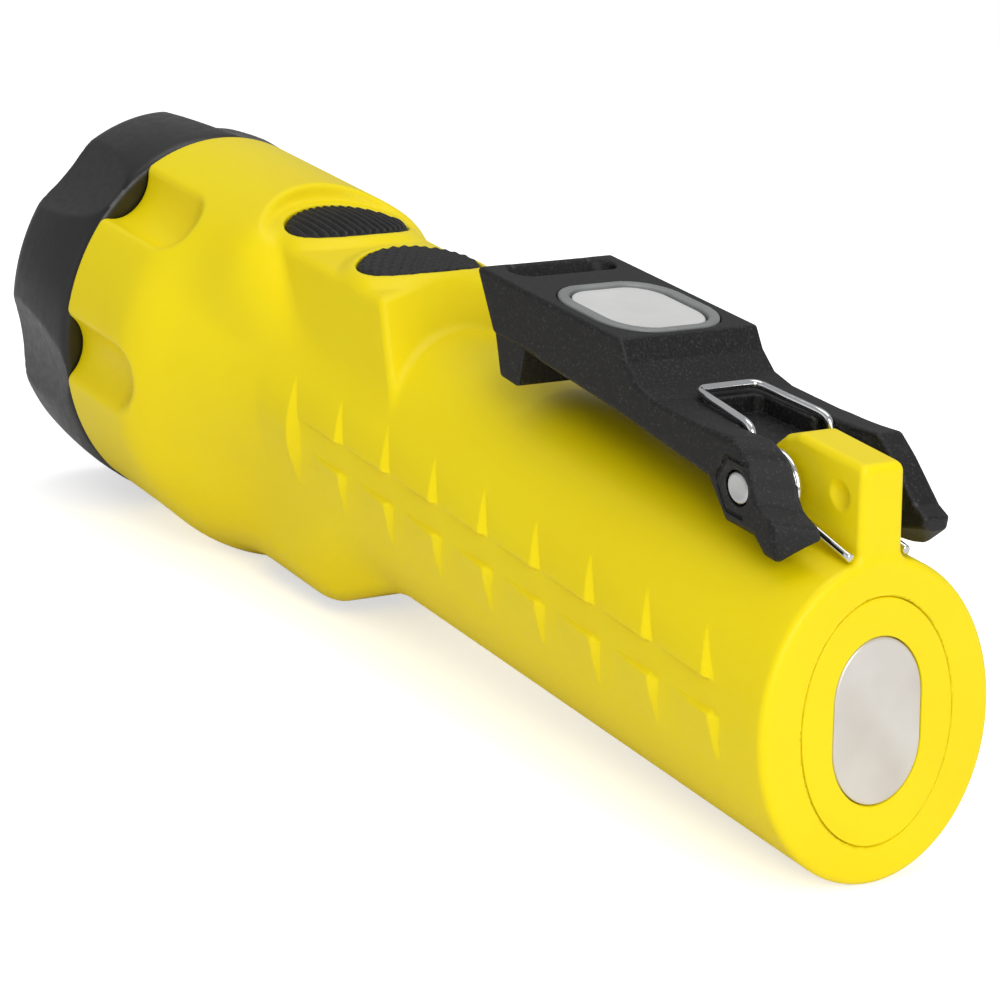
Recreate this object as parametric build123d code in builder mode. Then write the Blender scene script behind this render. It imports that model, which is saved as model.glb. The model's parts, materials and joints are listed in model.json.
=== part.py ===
from build123d import *
import math
import os

# Firefighter's hand light with a spot beam, a flood beam and a magnetic clip.
# Millimetres.  X is the body axis: the tail face is the plane X = 0 and the
# spot beam points along -X, so "front" is -X and "rear" is +X.
# +Z is the clip and button side, -Z the flood side.

# ------------------------------------------------------- shared dimensions
TAIL_R = 19.0            # handle radius at the tail
GRIP_R = 18.8            # handle radius ahead of the tail taper
COLLAR_X = -151.4        # joint plane between body and bezel
COLLAR_R = 28.4          # largest radius of the scalloped collar
BORE_R = 16.3            # battery bore
BORE_END = -6.5          # rear end of the battery bore
BORE_FRONT = -126.0      # front end of the battery bore, where the cone starts
HEAD_BORE_R = 20.4       # bore of the head, up to the neck
NECK_R = 22.5            # outside of the threaded neck
NECK_END = -161.0        # front end of the neck
THREAD_FIT = 0.06        # radial clearance at the bezel thread
SLIDE_FIT = 0.07         # radial clearance of the light module in its bore
MODULE_R = BORE_R - SLIDE_FIT

NECK_GROOVE_X = -154.0   # centre of the neck seal groove
NECK_GROOVE_HALF = 1.0
NECK_GROOVE_R = 21.3     # floor of the groove

# tail seat: half axes along Y and Z of its oval, and its depth
SEAT_HALF_Y, SEAT_HALF_Z = 12.5, 14.5
SEAT_DEPTH = 5.0
SEAT_FIT = 0.06

# rounded rectangles: size along X, size along Y, corner radius
BAY_OUTLINE = (37.5, 22.6, 2.0)
FLOOD_GLASS = (20.0, 19.2, 2.4)
FLOOD_MODULE = (15.0, 15.2, 1.4)
FLOOD_FIT = 0.1

FLOOD_Z = -23.6          # flat face round the flood window
FLOOD_X = -110.5         # centre of the flood window

# buttons: name, centre along X, half axis along X
BUTTONS = (("spot", -115.6, 6.9), ("flood", -96.8, 5.9))
BUTTON_XS = [button_x for _, button_x, _ in BUTTONS]
BUTTON_HALF_Y = 10.9     # long half axis of both buttons, across the body

BAY_X = -108.5           # centre of the switch bay
POSTS = ((-16.6, -9.4), (-16.6, 9.4), (17.0, -9.4), (17.0, 9.4))  # from bay centre
CONTACT_XS = (-112.0, -100.0)    # sliding power contacts on the light module

PIN_X, PIN_Z = -13.5, 23.7       # axis of the clip pin
PIN_R = 2.0

os.makedirs("parts", exist_ok=True)


# ----------------------------------------------------------------- helpers
def polar(radius, degrees):
    angle = math.radians(degrees)
    return (radius * math.cos(angle), radius * math.sin(angle))


def keep(builder, name):
    """Label a finished piece and write its STEP file."""
    builder.part.label = name
    export_step(builder.part, f"parts/{name}.step")


def across(x):
    """Plane across the body: local x along +Y, local y along +Z, normal +X."""
    return Plane(origin=(x, 0, 0), x_dir=(0, 1, 0), z_dir=(1, 0, 0))


def level(x, z):
    """Level plane: local x along +X, local y along +Y, normal +Z."""
    return Plane(origin=(x, 0, z), x_dir=(1, 0, 0), z_dir=(0, 0, 1))


def side_plane(half_width):
    """XZ plane at Y = half_width facing -Y; extrude by twice that to centre on Y = 0."""
    return Plane.XZ.offset(-half_width)


def grown(outline, gap):
    """A rounded rectangle offset outwards by gap."""
    size_x, size_y, corner = outline
    return (size_x + 2 * gap, size_y + 2 * gap, corner + gap)


def grooves(start_xs, width, rim_r, floor_r):
    """(x, radius) points of square grooves that run from each start towards +X."""
    return [point for x in start_xs
            for point in ((x, rim_r), (x, floor_r),
                          (x + width, floor_r), (x + width, rim_r))]


def coil(start_x, end_x, axis_y, axis_z, radius, turns):
    """Points of a helix about an axis parallel to X."""
    n = int(turns * 12)
    return [(start_x + (end_x - start_x) * i / n,
             axis_y + radius * math.cos(2 * math.pi * turns * i / n),
             axis_z + radius * math.sin(2 * math.pi * turns * i / n))
            for i in range(n + 1)]


def keep_seal_ring(name, x, ring_r, wire_r):
    """A round-section ring about the body axis."""
    with BuildPart() as ring:
        with BuildSketch(Plane.XZ):
            with Locations((x, ring_r)):
                Circle(wire_r)
        revolve(axis=Axis.X)
    keep(ring, name)


def keep_slab(name, plane, outline, height, bevel=0.0):
    """A level rounded-rectangle slab, with its top edges bevelled if asked."""
    with BuildPart() as slab:
        with BuildSketch(plane):
            RectangleRounded(*outline)
        extrude(amount=height)
        if bevel:
            chamfer(slab.faces().sort_by(Axis.Z)[-1].edges(), bevel)
    keep(slab, name)


# ------------------------------------------------------------- switch deck
# Raised block with a crowned top, steep sides and a rear ramp.
DECK_TOP_Z = 24.9        # crest of the crown
DECK_EDGE_Z = 23.26      # top edge of the sides
DECK_HALF = 12.8         # half width at that edge
DECK_SIDES = [(14.9, 12.4), (8.0, 6.0), (-8.0, 6.0), (-14.9, 12.4)]   # (y, z)
DECK_RAMP_CUT = [(-80.0, 11.6), (-89.8, 25.6), (-89.8, 40), (-70, 40), (-70, 11.6)]  # (x, z)
RAMP_CUT_HALF = 30.0     # half width of the cutters that shape both rear ramps

with BuildPart() as deck_block:
    with BuildSketch(across(-82.0)):
        with BuildLine():
            ThreePointArc((-DECK_HALF, DECK_EDGE_Z), (0, DECK_TOP_Z), (DECK_HALF, DECK_EDGE_Z))
            Polyline((DECK_HALF, DECK_EDGE_Z), *DECK_SIDES, (-DECK_HALF, DECK_EDGE_Z))
        make_face()
    extrude(amount=-52.0)
    with BuildSketch(side_plane(RAMP_CUT_HALF)):
        with BuildLine():
            Polyline(*DECK_RAMP_CUT, close=True)
        make_face()
    extrude(amount=2 * RAMP_CUT_HALF, mode=Mode.SUBTRACT)

# ----------------------------------------------------------- flood housing
# Block under the head, with a sloping rear end.
FLOOD_SECTION = [        # (y, z)
    (-17.9, -3.0), (-17.4, -13.0), (-14.9, -20.3), (-10.4, FLOOD_Z),
    (10.4, FLOOD_Z), (14.9, -20.3), (17.4, -13.0), (17.9, -3.0),
]
FLOOD_RAMP_CUT = [       # (x, z)
    (-100.0, -24.4), (-96.0, -22.3), (-91.0, -19.4), (-85.5, -15.8),
    (-80.0, -8.0), (-70.0, -8.0), (-70.0, -40), (-100.0, -40),
]
RIB_X, RIB_Y, RIB_Z = -114.5, 11.1, -23.9
RIB_SIZE = (19.0, 2.4, 5.8)

with BuildPart() as flood_block:
    with BuildSketch(across(-79.0)):
        with BuildLine():
            Polyline(*FLOOD_SECTION, close=True)
        make_face()
    extrude(amount=-51.0)
    with BuildSketch(side_plane(RAMP_CUT_HALF)):
        with BuildLine():
            Polyline(*FLOOD_RAMP_CUT, close=True)
        make_face()
    extrude(amount=2 * RAMP_CUT_HALF, mode=Mode.SUBTRACT)
    # two guard ribs beside the window, which the light rests on
    with Locations((RIB_X, RIB_Y, RIB_Z), (RIB_X, -RIB_Y, RIB_Z)):
        Box(*RIB_SIZE)

# --------------------------------------------------------------- grip fins
# Raised fins on both flanks, in two rows either side of a plain band.
FIN_START_X, FIN_PITCH, FIN_COUNT = -89.8, 11.28, 8
FIN_CREST_R = 19.75      # the fins are trimmed to this radius
FINS_LENGTH = 110.0
FLANK_Y = 18.0           # plane the fins rise from
UPPER_FIN = [(-4.5, 3.4), (0.6, 3.4), (-1.3, 8.2), (-2.1, 8.2)]       # (x from station, z)
LOWER_FIN = [(-3.2, -0.3), (2.2, -0.3), (2.4, -6.2), (1.6, -6.2)]     # (x from station, z)
FRONT_FIN = [            # (x, z) of the bent fin ahead of both rows
    (-102.9, 7.4), (-101.9, 7.4), (-98.6, 1.0), (-98.9, -5.2), (-99.9, -5.2), (-101.9, 1.5),
]
fin_outlines = [[(FIN_START_X + FIN_PITCH * i + x, z) for x, z in fin]
                for i in range(FIN_COUNT) for fin in (UPPER_FIN, LOWER_FIN)]
fin_outlines.append(FRONT_FIN)

with BuildPart() as grip_skin:
    for side in (-1, 1):
        flank = Plane(origin=(0, side * FLANK_Y, 0), x_dir=(1, 0, 0), z_dir=(0, side, 0))
        up = -side       # local y is +Z on the -Y flank and -Z on the +Y flank
        with BuildSketch(flank):
            for outline in fin_outlines:
                with BuildLine():
                    Polyline(*[(x, z * up) for x, z in outline], close=True)
                make_face()
        extrude(amount=3.0)
    with BuildSketch(across(-FINS_LENGTH)):
        Circle(FIN_CREST_R)
    extrude(amount=FINS_LENGTH, mode=Mode.INTERSECT)

# --------------------------------------------------------------- hinge lug
# Flat tab with a round nose about the clip pin.
LUG_HALF = 3.6
LUG_FOOT_Z = 17.4
DIMPLE_X, DIMPLE_Y, DIMPLE_Z = -4.2, 4.4, 25.4
DIMPLE_R = 1.6

with BuildPart() as lug_block:
    with BuildSketch(side_plane(LUG_HALF)):
        with BuildLine():
            Polyline((0, LUG_FOOT_Z), (0, 28.2))
            ThreePointArc((0, 28.2), (-0.76, 30.04), (-2.6, 30.8))
            Polyline((-2.6, 30.8), (-8.5, 30.4), (-13.0, 28.37))
            ThreePointArc((-13.0, 28.37), (-18.2, 23.7), (-16.3, 19.9))
            Polyline((-16.3, 19.9), (-16.3, LUG_FOOT_Z), (0, LUG_FOOT_Z))
        make_face()
    extrude(amount=2 * LUG_HALF)

# --------------------------------------------------------- collar scallops
# Cutters parallel to the body axis, each with a ball nose at its rear end.
SCALLOP_R = 5.9
SCALLOP_CENTRE_R = 30.7
SCALLOP_FRONT_X = -153.0
SCALLOP_BALL_X = -137.5  # centre of the ball nose
COLLAR_SCALLOPS = (48.5, 131.5, 184.5, 243.0, 297.0, 355.5)   # degrees from +Y towards +Z

with BuildPart() as scallop_flutes:
    for angle in COLLAR_SCALLOPS:
        centre_y, centre_z = polar(SCALLOP_CENTRE_R, angle)
        out_y, out_z = polar(1.0, angle)
        radial = Plane(origin=(0, centre_y, centre_z), x_dir=(1, 0, 0),
                       z_dir=(0, -out_z, out_y))
        with BuildSketch(radial):
            with BuildLine():
                Polyline((SCALLOP_FRONT_X, 0), (SCALLOP_FRONT_X, SCALLOP_R),
                         (SCALLOP_BALL_X, SCALLOP_R))
                ThreePointArc((SCALLOP_BALL_X, SCALLOP_R),
                              (SCALLOP_BALL_X + SCALLOP_R * 0.70711, SCALLOP_R * 0.70711),
                              (SCALLOP_BALL_X + SCALLOP_R, 0))
                Line((SCALLOP_BALL_X + SCALLOP_R, 0), (SCALLOP_FRONT_X, 0))
            make_face()
        revolve(axis=Axis((0, centre_y, centre_z), (1, 0, 0)))

# -------------------------------------------------------------- body shell
# One moulding: handle, head, scalloped collar, neck, switch deck, flood
# housing and the hinge lug of the clip.
TAIL_BEVEL = 0.7
BODY_OUTLINE = [         # (x, radius) of handle, head flare and collar
    (-TAIL_BEVEL, TAIL_R), (-30, 18.95), (-80, GRIP_R), (-100, 19.0), (-107, 19.6),
    (-114, 20.7), (-121, 22.4), (-127, 24.6), (-132, 26.7), (-137, 28.0),
    (-142, COLLAR_R), (COLLAR_X, 28.3),
]
BORE_PROFILE = [         # (x, radius) of battery bore, cone and head bore
    (BORE_END, 0), (BORE_END, BORE_R), (BORE_FRONT, BORE_R), (-141, HEAD_BORE_R),
    (NECK_END - 1, HEAD_BORE_R), (NECK_END - 1, 0),
]
NECK_GROOVE = [          # (x, radius)
    (NECK_GROOVE_X + NECK_GROOVE_HALF, NECK_R + 1),
    (NECK_GROOVE_X + NECK_GROOVE_HALF, NECK_GROOVE_R),
    (NECK_GROOVE_X - NECK_GROOVE_HALF, NECK_GROOVE_R),
    (NECK_GROOVE_X - NECK_GROOVE_HALF, NECK_R + 1),
]
LEAD_GROOVE = [(-108.3, 10), (-108.3, 17.6), (-105.7, 17.6), (-105.7, 10)]   # (x, radius)
POST_FOOT_Z = 19.6
POST_R, POST_HOLE_R = 1.7, 0.82
LUG_HOLE_CUT_HALF = 10.0

with BuildPart() as shell:
    # revolved handle, head flare and collar
    with BuildSketch(Plane.XZ):
        with BuildLine():
            Polyline((0, 0), (0, TAIL_R - TAIL_BEVEL), (-TAIL_BEVEL, TAIL_R))
            Spline(BODY_OUTLINE)
            Polyline(BODY_OUTLINE[-1], (COLLAR_X, 0), (0, 0))
        make_face()
    revolve(axis=Axis.X)
    add(deck_block.part)
    add(flood_block.part)
    add(scallop_flutes.part, mode=Mode.SUBTRACT)
    # threaded neck, modelled plain
    with BuildSketch(across(NECK_END)):
        Circle(NECK_R)
    extrude(amount=16.0)
    chamfer(shell.faces().sort_by(Axis.X)[0].edges(), 0.6)
    add(lug_block.part)
    # shallow round dimple on each side of the lug
    with Locations((DIMPLE_X, -DIMPLE_Y, DIMPLE_Z), (DIMPLE_X, DIMPLE_Y, DIMPLE_Z)):
        Sphere(DIMPLE_R, mode=Mode.SUBTRACT)
    add(grip_skin.part)

    # battery bore, cone and head bore, then the groove of the neck seal
    with BuildSketch(Plane.XZ):
        with BuildLine():
            Polyline(*BORE_PROFILE, close=True)
        make_face()
    revolve(axis=Axis.X, mode=Mode.SUBTRACT)
    with BuildSketch(Plane.XZ):
        with BuildLine():
            Polyline(*NECK_GROOVE, close=True)
        make_face()
    revolve(axis=Axis.X, mode=Mode.SUBTRACT)

    # switch bay under the deck, open to the bore
    with BuildSketch(level(BAY_X, 11.0)):
        RectangleRounded(*BAY_OUTLINE)
    extrude(amount=11.0, mode=Mode.SUBTRACT)
    # button openings through the deck
    for _, button_x, half_x in BUTTONS:
        with BuildSketch(level(button_x, 20.0)):
            Ellipse(half_x, BUTTON_HALF_Y)
        extrude(amount=8.0, mode=Mode.SUBTRACT)
    # posts for the switch board screws
    with BuildSketch(level(BAY_X, POST_FOOT_Z)):
        with Locations(*POSTS):
            Circle(POST_R)
    extrude(amount=3.0)
    with BuildSketch(level(BAY_X, POST_FOOT_Z)):
        with Locations(*POSTS):
            Circle(POST_HOLE_R)
    extrude(amount=2.6, mode=Mode.SUBTRACT)

    # seat of the flood window, and the smaller opening above it into the bore
    with BuildSketch(level(FLOOD_X, -28.0)):
        RectangleRounded(*grown(FLOOD_GLASS, FLOOD_FIT))
    extrude(amount=6.4, mode=Mode.SUBTRACT)
    with BuildSketch(level(FLOOD_X, -22.5)):
        RectangleRounded(*grown(FLOOD_MODULE, FLOOD_FIT))
    extrude(amount=5.5, mode=Mode.SUBTRACT)
    # shallow groove round the bore that carries the flood leads
    with BuildSketch(Plane.XZ):
        with BuildLine():
            Polyline(*LEAD_GROOVE, close=True)
        make_face()
    revolve(axis=Axis.X, mode=Mode.SUBTRACT)

    # oval seat of the tail insert
    with BuildSketch(across(-SEAT_DEPTH)):
        Ellipse(SEAT_HALF_Y, SEAT_HALF_Z)
    extrude(amount=SEAT_DEPTH + 1, mode=Mode.SUBTRACT)

    # hole of the clip pin through the lug
    with BuildSketch(side_plane(LUG_HOLE_CUT_HALF)):
        with Locations((PIN_X, PIN_Z)):
            Circle(PIN_R)
    extrude(amount=2 * LUG_HOLE_CUT_HALF, mode=Mode.SUBTRACT)
keep(shell, "body_shell")

# ------------------------------------------------------------- tail magnet
INSERT_DEPTH = 4.95
TAIL_POCKET_DEPTH = 3.9
TAIL_POCKET = (19.66, 14.6)      # slot: length along Z, width along Y
TAIL_SLOT = (19.5, 14.44)        # slot shape of keeper and magnet
TAIL_MAGNET_T = 3.06             # the magnet ends flush with the tail face

with BuildPart() as tail_insert:
    with BuildSketch(across(-INSERT_DEPTH)):
        Ellipse(SEAT_HALF_Y - SEAT_FIT, SEAT_HALF_Z - SEAT_FIT)
    extrude(amount=INSERT_DEPTH)
    with BuildSketch(across(-TAIL_POCKET_DEPTH)):
        SlotOverall(*TAIL_POCKET, rotation=90)
    extrude(amount=TAIL_POCKET_DEPTH + 0.1, mode=Mode.SUBTRACT)
keep(tail_insert, "tail_insert")

with BuildPart() as tail_keeper:
    with BuildSketch(across(0.02 - TAIL_POCKET_DEPTH)):
        SlotOverall(*TAIL_SLOT, rotation=90)
    extrude(amount=0.8)
keep(tail_keeper, "tail_keeper")

with BuildPart() as tail_magnet:
    with BuildSketch(across(-TAIL_MAGNET_T)):
        SlotOverall(*TAIL_SLOT, rotation=90)
    extrude(amount=TAIL_MAGNET_T)
    chamfer(tail_magnet.faces().sort_by(Axis.X)[-1].edges(), 0.25)
keep(tail_magnet, "tail_magnet")

# ------------------------------------------------------------------- seals
keep_seal_ring("neck_seal", x=NECK_GROOVE_X, ring_r=21.93, wire_r=0.6)
keep_seal_ring("lens_seal", x=-165.75, ring_r=21.38, wire_r=0.7)

# ------------------------------------------------------------------- bezel
BEZEL_REAR = COLLAR_X - 0.1
BEZEL_THREAD_R = NECK_R + THREAD_FIT
BEZEL_OUTSIDE = [        # (x, radius) from the rear edge to the front rim
    (BEZEL_REAR, 27.7), (-152.3, 28.25), (-158.5, 28.55), (-165.0, 28.2),
    (-169.0, 27.75), (-170.4, 27.2), (-170.8, 26.4),
]
BEZEL_INSIDE = [         # (x, radius) from the front rim to the rear edge
    (-170.8, 24.6), (-169.6, 22.6), (-166.7, 20.8), (-166.5, 20.6), (-166.5, 22.3),
    (-161.2, 22.3), (-161.2, BEZEL_THREAD_R), (BEZEL_REAR, BEZEL_THREAD_R),
]
BEZEL_SCALLOPS = [15.7 + 60 * i for i in range(6)]   # degrees from +Y towards +Z
BEZEL_CUTTER_R = 32.0
BEZEL_CUTTER_L = 24.0
# distance of the cutter axis from the body axis at its two ends
BEZEL_CUTTER_FRONT, BEZEL_CUTTER_REAR = 58.15, 60.9

with BuildPart() as bezel_ring:
    with BuildSketch(Plane.XZ):
        with BuildLine():
            Line(BEZEL_INSIDE[-1], BEZEL_OUTSIDE[0])
            Spline(BEZEL_OUTSIDE)
            Polyline(BEZEL_OUTSIDE[-1], *BEZEL_INSIDE)
        make_face()
    revolve(axis=Axis.X)
    # shallow finger scallops that fade out before the rear edge
    for angle in BEZEL_SCALLOPS:
        front_y, front_z = polar(BEZEL_CUTTER_FRONT, angle)
        rear_y, rear_z = polar(BEZEL_CUTTER_REAR, angle)
        lean = Plane(origin=(-172.0, front_y, front_z),
                     z_dir=(BEZEL_CUTTER_L, rear_y - front_y, rear_z - front_z))
        with BuildSketch(lean):
            Circle(BEZEL_CUTTER_R)
        extrude(amount=BEZEL_CUTTER_L, mode=Mode.SUBTRACT)
keep(bezel_ring, "bezel_ring")

# ----------------------------------------------------- optics of the spot
with BuildPart() as front_lens:
    with BuildSketch(across(-165.0)):
        Circle(22.2)
    extrude(amount=2.4)
    chamfer(front_lens.edges(), 0.2)
keep(front_lens, "front_lens")

BOWL_REAR_X, BOWL_DEPTH = -141.2, 21.3
BOWL_HOLE_R, BOWL_FLARE = 4.4, 15.4      # radius at the LED, and growth to the rim
BOWL_WALL = 1.0
BOWL_HUB_X = -139.85                     # rear face of the reflector


def bowl(offset):
    """(x, radius) points of the reflector's parabola, pushed outwards by offset."""
    return [(BOWL_REAR_X - BOWL_DEPTH * t * t, BOWL_HOLE_R + BOWL_FLARE * t + offset)
            for t in (0.0, 0.2, 0.4, 0.6, 0.8, 1.0)]


with BuildPart() as reflector:
    inner, outer = bowl(0.0), bowl(BOWL_WALL)
    with BuildSketch(Plane.XZ):
        with BuildLine():
            Spline(inner)
            Polyline(inner[-1], (-162.5, 22.15), (-161.3, 22.15), (-161.3, 20.25),
                     (-160.9, 20.25))
            Spline([(-160.9, 20.25)] + list(reversed(outer[:-1])))
            Polyline(outer[0], (BOWL_HUB_X, BOWL_HOLE_R + BOWL_WALL),
                     (BOWL_HUB_X, BOWL_HOLE_R), inner[0])
        make_face()
    revolve(axis=Axis.X)
keep(reflector, "reflector")

# --------------------------------------------------- spot LED and heat sink
LED_SCREWS = ((7.6, 0), (-7.6, 0))       # (y, z)
LED_SCREW_FRONT = -141.0
WIRE_HOLES = ((0, 6.5), (0, -6.5))       # (y, z) of the long holes in the heat sink

with BuildPart() as spot_led_board:
    with BuildSketch(across(-139.8)):
        Circle(10.5)
        with Locations(*LED_SCREWS):
            Circle(1.1, mode=Mode.SUBTRACT)
    extrude(amount=1.58)
keep(spot_led_board, "spot_led_board")

with BuildPart() as spot_led:
    # square base, then the dome
    with BuildSketch(across(-140.55)):
        Rectangle(5.0, 5.0)
    extrude(amount=0.73)
    with BuildSketch(across(-142.3)):
        Circle(2.1)
    extrude(amount=1.8)
    fillet(spot_led.faces().sort_by(Axis.X)[0].edges(), 1.5)
keep(spot_led, "spot_led")

with BuildPart() as led_screws:
    # heads, shanks, then the cross recesses
    with BuildSketch(across(LED_SCREW_FRONT)):
        with Locations(*LED_SCREWS):
            Circle(1.8)
    extrude(amount=1.18)
    with BuildSketch(across(-139.9)):
        with Locations(*LED_SCREWS):
            Circle(0.95)
    extrude(amount=6.4)
    with BuildSketch(across(LED_SCREW_FRONT)):
        with Locations(*LED_SCREWS):
            Rectangle(2.2, 0.5)
            Rectangle(0.5, 2.2)
    extrude(amount=0.6, mode=Mode.SUBTRACT)
keep(led_screws, "led_screws")

SINK_FRONT, SINK_REAR = -138.2, -120.0
SINK_R = 16.1
SINK_SPIGOT_R = 14.72                    # part that enters the core tube
SINK_STEP_X = BORE_FRONT - 0.05
SINK_GROOVE_XS = [-136.8 + 2.8 * i for i in range(3)]
SINK_PROFILE = [                         # (x, radius)
    (SINK_FRONT, 0), (SINK_FRONT, SINK_R),
    *grooves(SINK_GROOVE_XS, width=1.4, rim_r=SINK_R, floor_r=13.0),
    (SINK_STEP_X, SINK_R), (SINK_STEP_X, SINK_SPIGOT_R),
    (SINK_REAR, SINK_SPIGOT_R), (SINK_REAR, 0),
]
SINK_DRILL_X = -139.0

with BuildPart() as heat_sink:
    with BuildSketch(Plane.XZ):
        with BuildLine():
            Polyline(*SINK_PROFILE, close=True)
        make_face()
    revolve(axis=Axis.X)
    with BuildSketch(across(SINK_DRILL_X)):
        with Locations(*LED_SCREWS):
            Circle(1.0)
    extrude(amount=7.0, mode=Mode.SUBTRACT)
    with BuildSketch(across(SINK_DRILL_X)):
        with Locations(*WIRE_HOLES):
            Circle(1.3)
    extrude(amount=20.0, mode=Mode.SUBTRACT)
keep(heat_sink, "heat_sink")

# ----------------------------------------------- light module: tube, driver
TUBE_REAR = -70.55
TUBE_INNER_R = 14.8
CONTACT_GROOVE_HALF, CONTACT_GROOVE_R = 1.2, 15.7
CONTACT_RING_HALF = 1.15
CONTACT_GROOVE_XS = [x - CONTACT_GROOVE_HALF for x in CONTACT_XS]
TUBE_PROFILE = [                         # (x, radius)
    (BORE_FRONT, TUBE_INNER_R), (BORE_FRONT, MODULE_R),
    *grooves(CONTACT_GROOVE_XS, width=2 * CONTACT_GROOVE_HALF,
             rim_r=MODULE_R, floor_r=CONTACT_GROOVE_R),
    (TUBE_REAR, MODULE_R), (TUBE_REAR, TUBE_INNER_R),
]

with BuildPart() as core_tube:
    with BuildSketch(Plane.XZ):
        with BuildLine():
            Polyline(*TUBE_PROFILE, close=True)
        make_face()
    revolve(axis=Axis.X)
keep(core_tube, "core_tube")

with BuildPart() as contact_rings:
    for contact_x in CONTACT_XS:
        with BuildSketch(across(contact_x - CONTACT_RING_HALF)):
            Circle(16.15)
            Circle(15.75, mode=Mode.SUBTRACT)
        extrude(amount=2 * CONTACT_RING_HALF)
keep(contact_rings, "contact_rings")

with BuildPart() as driver_board:
    with BuildSketch(across(-78.0)):
        Circle(14.7)
        with Locations((0, 11.5), (0, -11.5)):
            Circle(1.2, mode=Mode.SUBTRACT)
    extrude(amount=1.6)
keep(driver_board, "driver_board")

# blocks on the driver board: (y, z) centre, (size y, size z)
DRIVER_BLOCKS = (
    ((5.5, 4.0), (5.0, 4.0)),
    ((4.0, -5.0), (4.0, 4.0)),
    ((-5.5, -6.5), (3.2, 2.5)),
)

with BuildPart() as driver_parts:
    with BuildSketch(across(-82.6)):
        with Locations((-4.5, 3.0)):
            Circle(4.0)
    extrude(amount=4.58)
    with BuildSketch(across(-79.4)):
        for centre, size in DRIVER_BLOCKS:
            with Locations(centre):
                Rectangle(*size)
    extrude(amount=1.38)
keep(driver_parts, "driver_parts")

# --------------------------------------------------------- battery and springs
CELL_R = 7.2             # AA cell, bare can
CELL_PITCH_R = 8.42      # radius of the circle through the three cell axes
CELL_START = 90          # angle of the first cell, degrees from +Y towards +Z
FRONT_RECESS_X = -68.45
CELL_WIRE_R, TAIL_WIRE_R = 0.28, 0.45

with BuildPart() as battery_carrier:
    # front plate, rear plate, then the rods between the cells
    with BuildSketch(across(-70.5)):
        Circle(MODULE_R)
    extrude(amount=2.45)
    with BuildSketch(across(-14.0)):
        Circle(MODULE_R)
    extrude(amount=2.0)
    with BuildSketch(across(-69.0)):
        with PolarLocations(13.7, 3, start_angle=30):
            Circle(1.95)
        Circle(0.95)
    extrude(amount=55.5)
    # recesses of the front contacts
    with BuildSketch(across(FRONT_RECESS_X)):
        with PolarLocations(CELL_PITCH_R, 3, start_angle=CELL_START):
            Circle(3.6)
    extrude(amount=1.0, mode=Mode.SUBTRACT)
keep(battery_carrier, "battery_carrier")

with BuildPart() as cell_contacts:
    with BuildSketch(across(FRONT_RECESS_X + 0.02)):
        with PolarLocations(CELL_PITCH_R, 3, start_angle=CELL_START):
            Circle(3.5)
    extrude(amount=0.4)
keep(cell_contacts, "cell_contacts")

with BuildPart() as aa_cells:
    # cans, then the front terminals
    with BuildSketch(across(-66.7)):
        with PolarLocations(CELL_PITCH_R, 3, start_angle=CELL_START):
            Circle(CELL_R)
    extrude(amount=49.1)
    chamfer(aa_cells.edges(), 0.4)
    with BuildSketch(across(-68.0)):
        with PolarLocations(CELL_PITCH_R, 3, start_angle=CELL_START):
            Circle(2.7)
    extrude(amount=1.5)
keep(aa_cells, "aa_cells")

with BuildPart() as cell_springs:
    for i in range(3):
        cell_y, cell_z = polar(CELL_PITCH_R, CELL_START + 120 * i)
        with BuildLine() as wire:
            Spline(coil(-17.2, -14.35, cell_y, cell_z, radius=3.4, turns=2.5))
        with BuildSketch(Plane(origin=wire.line @ 0, z_dir=wire.line % 0)):
            Circle(CELL_WIRE_R)
        sweep(path=wire.line)
keep(cell_springs, "cell_springs")

with BuildPart() as tail_spring:
    with BuildLine() as wire:
        Spline(coil(-11.5, -7.05, 0, 0, radius=7.0, turns=3.0))
    with BuildSketch(Plane(origin=wire.line @ 0, z_dir=wire.line % 0)):
        Circle(TAIL_WIRE_R)
    sweep(path=wire.line)
keep(tail_spring, "tail_spring")

# ------------------------------------------------------ switches and board
BOARD_Z, BOARD_T = 17.95, 1.6
SWITCH_Z = BOARD_Z + BOARD_T + 0.01      # foot of the switches, just clear of the board
STEM_R = 1.6

with BuildPart() as switch_board:
    with BuildSketch(level(BAY_X, BOARD_Z)):
        RectangleRounded(36.6, 21.6, 1.6)
        with Locations(*POSTS):
            Circle(1.0, mode=Mode.SUBTRACT)
    extrude(amount=BOARD_T)
keep(switch_board, "switch_board")

with BuildPart() as board_screws:
    # heads below the board, shanks up into the posts
    with BuildSketch(level(BAY_X, 16.7)):
        with Locations(*POSTS):
            Circle(1.6)
    extrude(amount=1.23)
    with BuildSketch(level(BAY_X, 17.9)):
        with Locations(*POSTS):
            Circle(0.78)
    extrude(amount=4.0)
keep(board_screws, "board_screws")

with BuildPart() as switch_seal:
    with BuildSketch(level(BAY_X, 21.0)):
        RectangleRounded(*grown(BAY_OUTLINE, -0.2))
        with Locations(*POSTS):
            Circle(POST_R + 0.1, mode=Mode.SUBTRACT)
        with Locations(*[(x - BAY_X, 0) for x in BUTTON_XS]):
            Circle(2.2, mode=Mode.SUBTRACT)
    extrude(amount=0.95)
keep(switch_seal, "switch_seal")

with BuildPart() as tact_switches:
    with BuildSketch(level(0, SWITCH_Z)):
        with Locations(*[(x, 0) for x in BUTTON_XS]):
            RectangleRounded(6.2, 6.2, 0.4)
    extrude(amount=1.04)
    with BuildSketch(level(0, 19.8)):
        with Locations(*[(x, 0) for x in BUTTON_XS]):
            Circle(STEM_R + 0.06)
    extrude(amount=1.0, mode=Mode.SUBTRACT)
keep(tact_switches, "tact_switches")

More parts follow.
